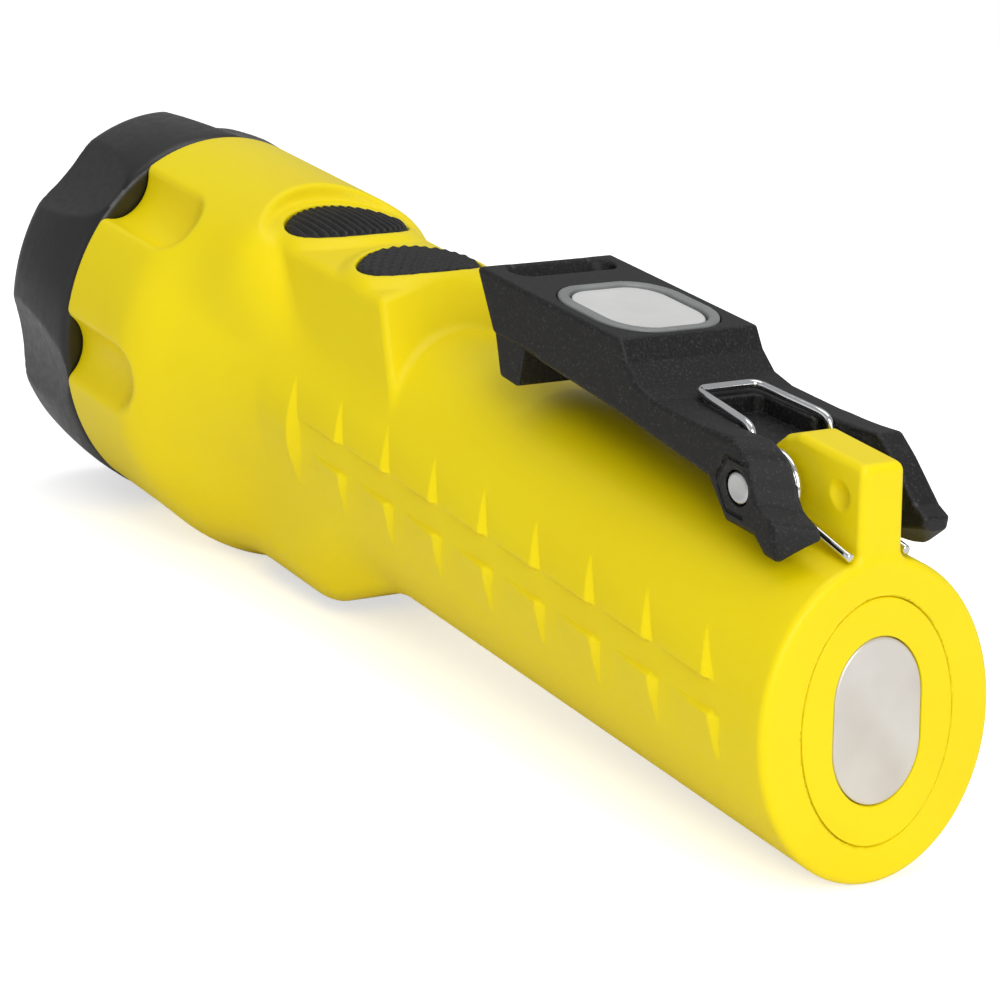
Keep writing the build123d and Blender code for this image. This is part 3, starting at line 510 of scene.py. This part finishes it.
def mat_metal(name, base, r0, r1, stretch=None, scale=300, tint=None, bump=0.003):
    m = Mat(name)
    g = m.noise(scale, 4.0, 0.6, stretch)
    cloud = m.noise(90, 3.0, 0.5)
    dark = tuple(0.86 * c for c in base[:3]) + (1,)
    col = m.ramp(cloud, [(0.3, dark), (0.7, base)])
    if tint:
        col = m.mix(m.span(m.noise(60, 2.0), 0.0, 0.25), col, tint)
    m.to(col, "Base Color")
    m.to(m.span(g, r0, r1), "Roughness")
    m.set(Metallic=1.0)
    m.bump(g, bump, 0.7)
    return m.m


def mat_plastic(name, lo, hi, r0=0.3, r1=0.45, scale=600, bump=0.006, emission=None):
    m = Mat(name)
    g = m.noise(scale, 3.0, 0.55)
    col = m.ramp(m.noise(120, 2.0), [(0.3, lo), (0.7, hi)])
    col = m.mix(m.span(g, 0, 0.12), col, tuple(min(1, c * 1.5 + 0.02) for c in hi[:3]) + (1,))
    m.to(col, "Base Color")
    m.to(m.span(g, r0, r1), "Roughness")
    m.bump(g, bump, 0.7)
    if emission:
        m.set(Emission_Color=emission, Emission_Strength=0.0)
    return m.m


def mat_clear(name, tint, r0, r1, lines=None):
    m = Mat(name)
    g = m.noise(220, 3.0, 0.5)
    m.to(m.ramp(g, [(0.3, tint), (0.7, (1, 1, 1, 1))]), "Base Color")
    m.to(m.span(g, r0, r1), "Roughness")
    m.set(Transmission_Weight=1.0, IOR=1.49)
    if lines:
        w = m.t.nodes.new("ShaderNodeTexWave")
        w.inputs["Scale"].default_value = lines
        w.bands_direction = "Y"
        m.t.links.new(m.co.outputs["Object"], w.inputs["Vector"])
        m.bump(w.outputs["Fac"], 0.12, 1.0)
    m.bump(g, 0.001, 0.5)
    return m.m


def mat_board(name, base, trace):
    m = Mat(name)
    v = m.voronoi(420)
    col = m.mix(m.span(v, 0, 1, 0.25, 0.32), trace, base)
    m.to(col, "Base Color")
    m.to(m.span(m.noise(500), 0.3, 0.42), "Roughness")
    m.bump(v, 0.02, 0.5)
    return m.m


MATS = {
    "yellow_shell": mat_yellow(),
    "black_clip": mat_clip(),
    "black_bezel": mat_bezel(),
    "button_rubber": mat_rubber("button_rubber", rgb(20, 20, 21), rgb(46, 46, 47)),
    "seal_rubber": mat_rubber("seal_rubber", rgb(22, 22, 22), rgb(44, 44, 44), 0.5, 0.7),
    "nickel": mat_plate("nickel", rgb(226, 222, 216), rgb(212, 205, 197)),
    # painted light: a lighter copy of the nickel plate, so the clip magnet reads as lit
    "nickel_bright": mat_plate("nickel_bright", rgb(250, 250, 249), rgb(240, 240, 239)),
    "ring_grey": mat_plastic("ring_grey", rgb(122, 124, 124), rgb(136, 138, 138), 0.32, 0.45),
    "steel_wire": mat_metal("steel_wire", rgb(232, 233, 235), 0.06, 0.14, (1, 1, 1), 900, None, 0.002),
    "steel": mat_metal("steel", rgb(212, 212, 214), 0.26, 0.40, (1, 1, 1), 700),
    "board": mat_board("board", rgb(16, 92, 48), rgb(40, 130, 76)),
    "led_board": mat_board("led_board", rgb(232, 234, 234), rgb(210, 206, 190)),
    "led_phosphor": mat_plastic("led_phosphor", rgb(236, 205, 70), rgb(250, 226, 110), 0.18, 0.3),
    "mirror": mat_metal("mirror", rgb(240, 241, 243), 0.03, 0.09, None, 500, None, 0.001),
    "flood_mirror": mat_plastic("flood_mirror", rgb(226, 227, 228), rgb(240, 241, 242), 0.25, 0.4),
    "clear_lens": mat_clear("clear_lens", (0.97, 0.985, 1.0, 1), 0.0, 0.03),
    "flood_window": mat_clear("flood_window", (0.95, 0.97, 0.98, 1), 0.06, 0.12, 260),
    "aluminium": mat_metal("aluminium", rgb(222, 224, 226), 0.25, 0.38, (1, 1, 8), 500),
    "black_frame": mat_plastic("black_frame", rgb(30, 30, 31), rgb(42, 42, 43)),
    "brass": mat_metal("brass", rgb(214, 178, 98), 0.2, 0.34),
    "cell_wrap": mat_plastic("cell_wrap", rgb(40, 44, 52), rgb(54, 58, 66), 0.2, 0.3),
    "part_black": mat_plastic("part_black", rgb(24, 24, 24), rgb(38, 38, 38)),
    "lead_red": mat_plastic("lead_red", rgb(160, 26, 20), rgb(186, 36, 28)),
}
SLOT_OF = {s["node"]: s["material_slot"] for s in frame["record"]["subparts"]}
for node, ob in frame["nodes"].items():
    ob.data.materials.clear()
    ob.data.materials.append(MATS[SLOT_OF[node]])
    ob.data.polygons.foreach_set("material_index", np.zeros(len(ob.data.polygons), np.int32))


def place(ob, body, mat, *nodes, slot=None):
    ob.data.materials.clear()
    ob.data.materials.append(MATS[mat])
    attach(ob, body)
    if nodes:
        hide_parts(*nodes)
    return ob


# ------------------------------------------------------------------- shell
RS = smooth_table([(0, 19.0), (-30, 18.95), (-80, 18.8), (-98, 18.95), (-104, 19.3),
                   (-110, 20.0), (-116, 21.2), (-122, 23.0), (-127, 24.9), (-131.5, 27.3),
                   (-134.5, 28.35), (-137, 28.4), (-151.4, 28.35)], 1.3)
RT = smooth_table([(0, 19.0), (-80, 18.8), (-99, 18.9), (-104, 19.4), (-108, 20.9),
                   (-111.5, 23.2), (-114.5, 25.8), (-117.5, 27.8), (-120.5, 28.4),
                   (-151.4, 28.35)], 1.2)
RB = smooth_table([(0, 19.0), (-80, 18.8), (-97, 18.9), (-104, 20.3), (-110, 22.4),
                   (-116, 24.6), (-121, 26.2), (-126, 27.8), (-130, 28.4),
                   (-151.4, 28.35)], 1.6)
ZF = smooth_table([(-130, -27.0), (-101.0, -24.6), (-98.5, -23.2), (-94.0, -20.9), (-89.0, -18.4),
                   (-85.0, -16.2), (-80.0, -12.5), (-72.0, -2.0), (-66, 6.0)], 1.2)
RBORE = smooth_table([(0, 16.3), (-126, 16.3), (-141, 20.4), (-170, 20.4)], 0.2)
SCALLOPS = ((48.0, 6.1), (132.0, 6.1), (185.0, 5.6), (243.0, 5.8), (297.0, 5.8), (355.0, 5.6))
BUTTONS = ((-115.6, 6.9), (-96.8, 5.9))
LUG = [(0, 15), (0, 30.05), (-12.0, 30.15), (-14.4, 29.1), (-16.5, 27.2), (-17.8, 25.0),
       (-18.2, 23.4), (-17.6, 21.2), (-16.4, 19.8), (-16.4, 15)]
LUG_IN = inset(LUG, 1.25)


def relief(x, z):
    """Grip pattern of the flanks: two rows of wedge tiles that rise towards the
    tail and fall in a sharp facet, either side of a plain band."""
    hh = 0.92
    vu = np.clip(1 - (z - 3.4) / 5.3, 0, 1) * sstep(3.0, 3.55, z)
    vl = np.clip(1 - (-0.3 - z) / 6.2, 0, 1) * sstep(-0.05, 0.45, -z)
    out = np.zeros(np.broadcast(x, z).shape, F)
    for i in range(8):
        xf = -89.4 + 11.28 * i - 0.39 * (z - 3.4)
        u = np.clip((x - (xf - 10.4)) / 10.4, 0, 1) ** 0.8
        out = np.maximum(out, np.minimum(hh * vu * u, hh * vu - (x - xf) * (hh / 1.5)))
        xl = -87.9 + 11.28 * i + 0.106 * (0.3 - z)
        u = np.clip((x - (xl - 7.5)) / 7.5, 0, 1) ** 0.9
        out = np.maximum(out, np.minimum(hh * vl * u, hh * vl - (x - xl) * (hh / 1.5)))
    xf = -102.4 + 0.27 * (8.06 - z)
    v = np.clip(np.minimum((8.4 - z) / 6.5, (z + 6.2) / 5.5), 0, 1)
    u = np.clip((x - (xf - 8)) / 8, 0, 1)
    out = np.maximum(out, np.minimum(1.05 * v * u, 1.05 * v - (x - xf) * (1.05 / 2.2)))
    return out


def f_shell(x, y, z):
    rr = np.sqrt(y * y + z * z)
    s = z / (rr + 1e-4)
    ay = np.abs(y)
    wt, wb = sstep(0.40, 0.86, s), sstep(0.35, 0.85, -s)
    a = RS(x)
    d = (rr - (a + wt * (RT(x) - a) + wb * (RB(x) - a)) - relief(x, z)) * 0.95
    # switch deck
    dish = 0.0
    for bx, hx in BUTTONS:
        q = ellipse(x - bx, y, hx, 10.9)
        dish = dish + 0.95 * (1 - sstep(0.35, 3.0, q))
    top = 24.9 - 0.01 * y * y
    dk = rmax(z - (top + dish), 0.98 * (ay - 12.8) + 0.2 * (z - 23.26), 1.3)
    dk = rmax(dk, (x + 0.62 * z + 74.316) / 1.1766, 1.0)
    dk = np.maximum(np.maximum(dk, -134 - x), 3 - z)
    d = smin(d, dk, 1.0)
    # the collar is cut back round the front button, down to the deck
    ex = np.minimum(x + 115.6, 0) / 8.9
    plan = (np.sqrt(ex * ex + (y / 14.0) ** 2) - 1) * 8.9
    d = rmax(d, smin(-plan, z - (top + dish), 2.6), 1.0)
    # flood housing
    fl = rmax(0.99875 * (ay - 17.9) - 0.05 * (z + 3), 0.9463 * (ay - 17.4) - 0.3233 * (z + 13), 2.0)
    fl = rmax(fl, 0.5912 * (ay - 14.9) - 0.8065 * (z + 20.3), 1.6)
    fl = rmax(fl, -23.6 - z, 0.9)
    fl = rmax(fl, (ZF(x) - z) * 0.80, 1.6)
    fl = rmax(fl, 0.322 * (x + 91.87) + 0.825 * (ay - 17.6) - 0.463 * (z + 9.57), 1.4)
    fl = np.maximum(np.maximum(fl, -130 - x), z + 3)
    d = smin(d, fl, 1.6)
    # scallops
    lx = np.maximum(x + 136.8, 0)
    sc = None
    for deg, rad in SCALLOPS:
        cy, cz = 30.65 * math.cos(math.radians(deg)), 30.65 * math.sin(math.radians(deg))
        q = np.sqrt((y - cy) ** 2 + (z - cz) ** 2 + lx * lx) - rad
        sc = q if sc is None else np.minimum(sc, q)
    d = rmax(d, -sc, 0.9)
    d = rmax(d, -151.4 - x, 0.5)
    # threaded neck with the groove of its seal
    turn = x / 2.0 + np.arctan2(z, y) / (2 * math.pi)
    ridge = np.abs(turn - np.round(turn)) * 2
    on = sstep(-155.4, -155.9, x)
    nk = rr - (22.5 - 0.75 * on * sstep(0.25, 0.75, ridge))
    nk = np.maximum(rmax(nk, -161 - x, 0.5), x + 145)
    nk = np.maximum(nk, -np.maximum(21.3 - rr, np.abs(x + 154) - 1.0))
    d = np.minimum(d, nk)
    # hinge lug
    lg = rmax(np.maximum(poly(x, z, LUG_IN) - 1.25, 15.5 - z), ay - 3.6, 1.15)
    d = rmin(d, lg, 1.0)
    d = rmax(d, x + 0 * y, 1.0)
    dm = np.sqrt((x + 4.2) ** 2 + (ay - 4.7) ** 2 + (z - 25.4) ** 2) - 1.95
    d = rmax(d, -dm, 0.25)
    # inside
    d = cut(d, np.maximum(rr - RBORE(x), x + 6.5))
    d = cut(d, np.maximum(rrect(x + 108.5, y, 18.75, 11.3, 2.0), np.maximum(11 - z, z - 22)))
    for bx, hx in BUTTONS:
        d = cut(d, np.maximum(ellipse(x - bx, y, hx, 10.9), 20 - z), 0.3)
    d = cut(d, np.maximum(rrect(x + 110.5, y, 10.1, 9.7, 2.5), z + 21.6), 0.3)
    d = cut(d, np.maximum(rrect(x + 110.5, y, 7.6, 7.7, 1.5), z + 17.0), 0.15)
    d = cut(d, np.maximum(ellipse(y, z, 12.5, 14.5), -5.0 - x), 0.16)
    d = cut(d, np.hypot(x + 13.5, z - 23.7) - 2.0, 0.2)
    return d


shell = surface("shell_moulding", f_shell, (-161, -29.2, -29.2), (0, 29.2, 30.9),
                0.36)
place(shell, "body", "yellow_shell", "body_shell")


# ------------------------------------------------------------- tail insert
def f_insert(x, y, z):
    d = rmax(ellipse(y, z, 12.42, 14.42), np.maximum(x + 0.0, -4.95 - x), 0.16)
    return cut(d, np.maximum(rrect(y, z, 7.34, 9.87, 7.34), -3.9 - x), 0.2)


ins = surface("tail_insert_moulding", f_insert, (-4.95, -12.5, -14.5), (0, 12.5, 14.5),
              0.22)
place(ins, "body", "yellow_shell", "tail_insert")


def f_tail_magnet(x, y, z):
    return rmax(rrect(y, z, 7.2, 9.73, 7.2), np.maximum(x + 0.04, -3.06 - x), 0.3)


mag = surface("tail_magnet_plate", f_tail_magnet, (-3.06, -7.3, -9.8), (0, 7.3, 9.8),
              0.2)
place(mag, "body", "nickel", "tail_magnet")

# -------------------------------------------------------------------- clip
CLIP = [(-68.0, 34.2), (-36.8, 34.2), (-35.4, 31.6), (-33.0, 29.5), (-29.5, 28.8),
        (-20.5, 28.9), (-12.5, 29.6), (-9.2, 30.0), (-6.6, 27.9), (-2.4, 23.6),
        (-0.5, 22.7), (-0.9, 21.0), (-4.6, 17.7), (-6.4, 17.2), (-8.6, 17.3),
        (-10.5, 18.9), (-15.7, 18.9), (-18.9, 23.2), (-36.5, 24.9), (-56.9, 26.2), (-57.9, 21.0), (-61.9, 21.2), (-63.4, 26.2)]
CLIP_IN = inset(CLIP, 0.55)
HEX = [(-13.5 + 3.9 * math.cos(math.radians(60 * i)), 23.7 + 3.7 * math.sin(math.radians(60 * i)))
       for i in range(6)]
OPEN = math.radians(17.0)
XEAR = smooth_table([(15.0, -2.3), (17.4, -2.3), (19.0, -2.4), (20.3, -2.7), (21.4, -3.0),
                     (22.1, -3.3), (22.8, -5.9), (24.6, -7.1), (26.0, -7.6), (28.0, -8.8),
                     (28.8, -10.0), (29.6, -12.0), (31.0, -14.0)], 0.3)


def f_clip(x, y, z):
    ay = np.abs(y)
    d2 = poly(x, z, CLIP_IN) - 0.55
    r = 0.65 + 0.6 * sstep(-20, -14, x)
    d = rmax(d2, ay - 12.2, r)
    foot = np.maximum(np.maximum(np.abs(x + 61.0) - 7.0, (z - 26.6) * 0.9), 11.8 - ay)
    d = cut(d, foot, 0.3)
    d = cut(d, np.maximum(rrect(x + 46.6, y, 10.2, 9.7, 2.0), z - 27.8), 0.5)
    slot = np.hypot(x + 64.5 - 0.57 * (34.2 - z), np.maximum(np.abs(y - 0.5) - 6.7, 0)) - 2.45
    d = cut(d, np.maximum(slot, 28.4 - z), 0.55)
    d = cut(d, np.maximum(rrect(x + 47.3, y, 9.55, 10.3, 7.0), 29.5 - z), 0.25)
    d = cut(d, np.maximum(rrect(x + 19.0, y, 9.2, 5.0 + 0.05 * (x + 28), 1.2), 26.5 - z), 0.35)
    # shallow step that the spring wire lies in
    d = cut(d, np.maximum(rrect(x + 19.5, y, 10.6, 6.5 + 0.05 * (x + 28), 1.5), 28.95 - z), 0.3)
    d = cut(d, np.maximum(np.abs(x + 8.6) - 10.0, ay - 7.4), 0.6)
    # thin hexagonal groove round the pin, on the outer faces
    hx = poly(x, z, HEX)
    groove = np.maximum(np.abs(hx) - 0.16, 11.95 - ay)
    groove = np.maximum(groove, x + 12.2)
    d = cut(d, groove, 0.1)
    d = cut(d, np.hypot(x + 13.5, z - 23.7) - 2.12, 0.22)
    # slanting rear of the near ear, with the lip of its thumb tab
    slant = np.where(y < 0, (x - XEAR(z) + 0.85 * (-7.4 - y)) * 0.76, -5.0)
    d = rmax(d, slant, 0.45)
    # clearance round the handle, closed and fully open
    keep_out = np.maximum(np.hypot(y, z) - 19.45, -40 - x)
    d = cut(d, keep_out, 0.4)
    dx, dz = x + 13.5, z - 23.7
    u = dx * math.cos(OPEN) + dz * math.sin(OPEN)
    w = -dx * math.sin(OPEN) + dz * math.cos(OPEN) + 23.7
    keep_out = np.maximum(np.hypot(y, w) - 19.35, np.maximum(-30 - (u - 13.5), u - 14.0))
    return cut(d, keep_out, 0.4)


clip = surface("clip_moulding", f_clip, (-68.2, -12.3, 17.0), (0, 12.3, 34.4),
               0.24)
place(clip, "clip", "black_clip", "clip_body")


def f_ring(x, y, z):
    o = rrect(x + 47.3, y, 9.4, 10.15, 6.85)
    d = rmax(o, np.maximum(z - 34.4, 30.6 - z), 0.25)
    return cut(d, rrect(x + 47.3, y, 8.25, 8.2, 5.3), 0.25)


ring = surface("clip_magnet_surround", f_ring, (-56.8, -10.3, 30.6), (-37.8, 10.3, 34.4),
               0.22)
place(ring, "clip", "ring_grey", "clip_magnet_ring")


def f_clip_magnet(x, y, z):
    return rmax(rrect(x + 47.3, y, 7.95, 7.9, 5.0), np.maximum(z - 34.05, 30.6 - z), 0.3)


cmag = surface("clip_magnet_plate", f_clip_magnet, (-55.6, -8.3, 30.6), (-39.0, 8.3, 34.1),
               0.22)
# the clip magnet gets the lighter, painted-lit copy of the nickel plate
place(cmag, "clip", "nickel_bright", "clip_magnet", slot="nickel")

# --------------------------------------------------------------------- pin
plo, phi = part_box("clip_pin")
y0, y1, pr = plo.y / MM, phi.y / MM, (phi.x - plo.x) / MM / 2 - 0.12
pin = lathe("clip_hinge_pin", [(y0 + 0.10, 0.8), (y0 + 0.02, pr - 0.55), (y0 + 0.0, pr - 0.35),
                               (y0 + 0.06, pr - 0.16), (y0 + 0.22, pr - 0.02), (y0 + 0.5, pr),
                               (y1 - 0.5, pr), (y1 - 0.22, pr - 0.02), (y1 - 0.06, pr - 0.16),
                               (y1, pr - 0.35), (y1 - 0.02, pr - 0.55), (y1 - 0.10, 0.8)],
            (-13.5, 23.7))
place(pin, "body", "steel", "clip_pin")

# ------------------------------------------------------------------ spring
BRIDGE = [(-29.3, 0.0, 29.75), (-29.3, 2.6, 29.75), (-29.2, 4.3, 29.75), (-28.6, 5.1, 29.72),
          (-27.4, 5.4, 29.7), (-24.0, 5.75, 29.62), (-20.5, 6.2, 29.55), (-18.2, 6.5, 29.45),
          (-17.2, 6.62, 29.0), (-16.75, 6.68, 28.0), (-16.6, 6.7, 26.4)]


def side_points(side, pts):
    return [(p[0], side * p[1], p[2]) for p in pts]


full = side_points(-1, BRIDGE)[::-1] + side_points(1, BRIDGE)[1:]
bridge = tube("spring_bridge", catmull(full, 6), 0.55, 20)
place(bridge, "clip", "steel_wire", "clip_spring")
for side, word in ((-1, "left"), (1, "right")):
    pts = [(-16.6, side * 6.7, 26.6)]
    n = 54
    for i in range(n + 1):
        a = math.radians(180 + 360 * 2.25 * i / n)
        rc = 3.05 + 0.5 * math.sin(math.pi * i / n) ** 0.5
        pts.append((-13.5 + rc * math.cos(a), side * (6.7 - 2.36 * i / n),
                    23.7 + rc * math.sin(a)))
    pts += [(-11.0, side * 4.36, 20.62), (-8.0, side * 4.45, 20.4),
            (-4.0, side * 4.6, 19.75), (-0.8, side * 4.7, 19.2)]
    coil = tube("spring_coil_" + word, catmull(pts, 3), 0.6, 20)
    coil.data.materials.append(MATS["steel_wire"])
    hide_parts("clip_spring")
    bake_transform(coil)

# ------------------------------------------------------------------- bezel
NB = 540


def f_bezel_profile():
    pts = [(-151.5, 22.56), (-151.5, 27.1), (-151.6, 27.6), (-151.9, 28.0), (-152.5, 28.28),
           (-154.0, 28.44), (-156.5, 28.53), (-158.5, 28.55), (-161.0, 28.48), (-163.5, 28.33),
           (-165.5, 28.16), (-167.3, 27.95), (-168.6, 27.78), (-169.5, 27.55), (-170.1, 27.25),
           (-170.5, 26.85), (-170.75, 26.35), (-170.8, 25.8), (-170.8, 24.95), (-170.72, 24.72),
           (-170.5, 24.35), (-169.6, 22.85), (-169.3, 22.5), (-168.0, 21.7), (-166.75, 20.85),
           (-166.55, 20.7), (-166.5, 20.8), (-166.5, 22.3), (-161.2, 22.3), (-161.2, 22.56)]
    out = []
    for i in range(len(pts)):
        a, b = pts[i], pts[(i + 1) % len(pts)]
        k = max(1, int(math.hypot(b[0] - a[0], b[1] - a[1]) / (0.6)))
        for j in range(k):
            out.append((a[0] + (b[0] - a[0]) * j / k, a[1] + (b[1] - a[1]) * j / k))
    return np.array(out)


prof = f_bezel_profile()
th = np.linspace(0, 2 * math.pi, NB, endpoint=False)
X = np.repeat(prof[:, :1], NB, 1)
Rp = np.repeat(prof[:, 1:], NB, 1)
T = np.repeat(th[None, :], len(prof), 0)
c0 = 52.5 + (X + 170.8) * 0.125
for deg in [15.5 + 60 * i for i in range(6)]:
    dl = np.arctan2(np.sin(T - math.radians(deg)), np.cos(T - math.radians(deg)))
    disc = 26.9 ** 2 - (c0 * np.sin(dl)) ** 2
    rs = np.where((disc > 0) & (np.abs(dl) < 0.6), c0 * np.cos(dl) - np.sqrt(np.maximum(disc, 0)), 99.0)
    Rp = np.where(Rp > 25.0, smin(Rp, rs, 0.22), Rp)
bz = np.stack([X, Rp * np.cos(T), Rp * np.sin(T)], -1).reshape(-1, 3)
bezel = make_mesh("bezel_moulding", bz, grid_faces(len(prof), NB, True), sharp=48)
place(bezel, "bezel", "black_bezel", "bezel_ring")


# ----------------------------------------------------------------- buttons
def button_field(bx, hx, kind):
    def f(x, y, z):
        q = ellipse(x - bx, y, hx - 0.22, 10.68)
        k0 = np.sqrt(((x - bx) / hx) ** 2 + (y / 10.9) ** 2)
        top = 25.15 + 0.55 * (1 - k0 * k0) - 0.008 * y * y
        fade = sstep(1.0, 0.90, k0)
        if kind == "ribs":
            w = 0.5 + 0.5 * np.cos(2 * math.pi * y / 1.42)
            top = top + 0.7 * fade * w ** 0.75
        else:
            w = np.cos(2 * math.pi * (x - bx + y) / 2.1) + np.cos(2 * math.pi * (x - bx - y) / 2.1)
            top = top + 0.34 * fade * (0.5 + 0.25 * w) + 0.22 * fade
        return rmax(q, np.maximum((z - top) * 0.75, 22.5 - z), 0.25)
    return f


for (bx, hx), kind, node in zip(BUTTONS, ("ribs", "knurl"), ("spot_button", "flood_button")):
    b = surface(node + "_cap", button_field(bx, hx, kind), (bx - hx, -10.9, 22.4),
                (bx + hx, 10.9, 26.9), 0.15)
    place(b, node, "button_rubber", node)

# ------------------------------------------------------- floor and backdrop
slope = math.atan2(28.6 - 19.0, 156.0)
floor = make_mesh("floor", [(-4000, -4000, 0), (4000, -4000, 0), (4000, 4000, 0), (-4000, 4000, 0)],
                  [[0, 1, 2, 3]])
floor.rotation_euler = (0, -slope, 0)
floor.location = (0, 0, -0.01915)
fm = Mat("floor")
fg = fm.noise(3.0, 2.0)
fm.to(fm.ramp(fg, [(0.3, (0.90, 0.90, 0.90, 1)), (0.7, (0.92, 0.92, 0.92, 1))]), "Base Color")
fm.set(Roughness=0.9)
geo = fm.t.nodes.new("ShaderNodeNewGeometry")
tr = fm.t.nodes.new("ShaderNodeBsdfTransparent")
mx = fm.t.nodes.new("ShaderNodeMixShader")
out = fm.t.nodes["Material Output"]
# the floor fades out far from the light, so that no horizon shows
far = fm.t.nodes.new("ShaderNodeVectorMath")
far.operation = "LENGTH"
fm.t.links.new(geo.outputs["Position"], far.inputs[0])
fade = fm.t.nodes.new("ShaderNodeMapRange")
fade.inputs["From Min"].default_value = 0.32
fade.inputs["From Max"].default_value = 0.62
fm.t.links.new(far.outputs["Value"], fade.inputs["Value"])
either = fm.t.nodes.new("ShaderNodeMath")
either.operation = "MAXIMUM"
fm.t.links.new(fade.outputs["Result"], either.inputs[0])
fm.t.links.new(geo.outputs["Backfacing"], either.inputs[1])
fm.t.links.new(either.outputs[0], mx.inputs[0])
fm.t.links.new(fm.b.outputs[0], mx.inputs[1])
fm.t.links.new(tr.outputs[0], mx.inputs[2])
fm.t.links.new(mx.outputs[0], out.inputs["Surface"])
em = fm.t.nodes.new("ShaderNodeEmission")
em.inputs["Strength"].default_value = 0.60
lpf = fm.t.nodes.new("ShaderNodeLightPath")
add = fm.t.nodes.new("ShaderNodeAddShader")
me2 = fm.t.nodes.new("ShaderNodeMixShader")
fm.t.links.new(lpf.outputs["Is Camera Ray"], me2.inputs[0])
fm.t.links.new(fm.b.outputs[0], me2.inputs[1])
fm.t.links.new(fm.b.outputs[0], add.inputs[0])
fm.t.links.new(em.outputs[0], add.inputs[1])
fm.t.links.new(add.outputs[0], me2.inputs[2])
fm.t.links.new(me2.outputs[0], mx.inputs[1])
floor.data.materials.append(fm.m)

world = bpy.data.worlds.new("studio")
bpy.context.scene.world = world
world.use_nodes = True
wt = world.node_tree
bg = wt.nodes["Background"]
bg.inputs["Color"].default_value = (1, 1, 1, 1)
bg.inputs["Strength"].default_value = 0.42
bg2 = wt.nodes.new("ShaderNodeBackground")
bg2.inputs["Color"].default_value = (1, 1, 1, 1)
bg2.inputs["Strength"].default_value = 1.0
lp = wt.nodes.new("ShaderNodeLightPath")
ms = wt.nodes.new("ShaderNodeMixShader")
wt.links.new(lp.outputs["Is Camera Ray"], ms.inputs[0])
wt.links.new(bg.outputs[0], ms.inputs[1])
wt.links.new(bg2.outputs[0], ms.inputs[2])
wt.links.new(ms.outputs[0], wt.nodes["World Output"].inputs["Surface"])


def softbox(name, loc, target, size, power):
    li = bpy.data.lights.new(name, "AREA")
    li.shape = "RECTANGLE"
    li.size, li.size_y = size
    li.energy = power
    ob = bpy.data.objects.new(name, li)
    bpy.context.scene.collection.objects.link(ob)
    ob.location = loc
    ob.rotation_mode = "QUATERNION"
    ob.rotation_quaternion = (Vector(target) - Vector(loc)).to_track_quat("-Z", "Y")
    return ob


softbox("key_tail", (0.75, -0.25, 0.45), (-0.05, 0, 0), (0.7, 0.7), 5.0)
softbox("top", (-0.15, 0.15, 0.9), (-0.08, 0, 0), (0.9, 0.6), 2.7)
softbox("side", (-0.35, -0.85, 0.25), (-0.1, 0, 0), (0.7, 0.5), 0.4)

# ------------------------------------------------------------------ camera
cam = bpy.data.cameras.new("camera")
cam.sensor_width = 36.0
cam.lens = 3225.72 * 36.0 / 1000.0
cam.clip_start, cam.clip_end = 0.01, 20
co = bpy.data.objects.new("camera", cam)
bpy.context.scene.collection.objects.link(co)
R3, U3, B3 = (Vector((0.45983, 0.88451, 0.07875)), Vector((0.08651, -0.13288, 0.98735)),
              Vector((0.88378, -0.44720, -0.13762)))
co.matrix_world = Matrix(((R3.x, U3.x, B3.x, 0.319217), (R3.y, U3.y, B3.y, -0.320481),
                          (R3.z, U3.z, B3.z, 0.173622), (0, 0, 0, 1)))
bpy.context.scene.camera = co
# the lens shift belongs to this viewpoint only
for prop, value in (("shift_x", 0.60997), ("shift_y", -1.71967)):
    dr = cam.driver_add(prop).driver
    dr.type = "SCRIPTED"
    var = dr.variables.new()
    var.name = "lx"
    var.type = "TRANSFORMS"
    var.targets[0].id = co
    var.targets[0].transform_type = "LOC_X"
    var.targets[0].transform_space = "WORLD_SPACE"
    dr.expression = "%g if abs(lx - 0.319217) < 0.0005 else 0.0" % value
bpy.context.scene.view_settings.view_transform = "Standard"
bpy.context.scene.view_settings.look = "None"
bpy.context.view_layer.update()
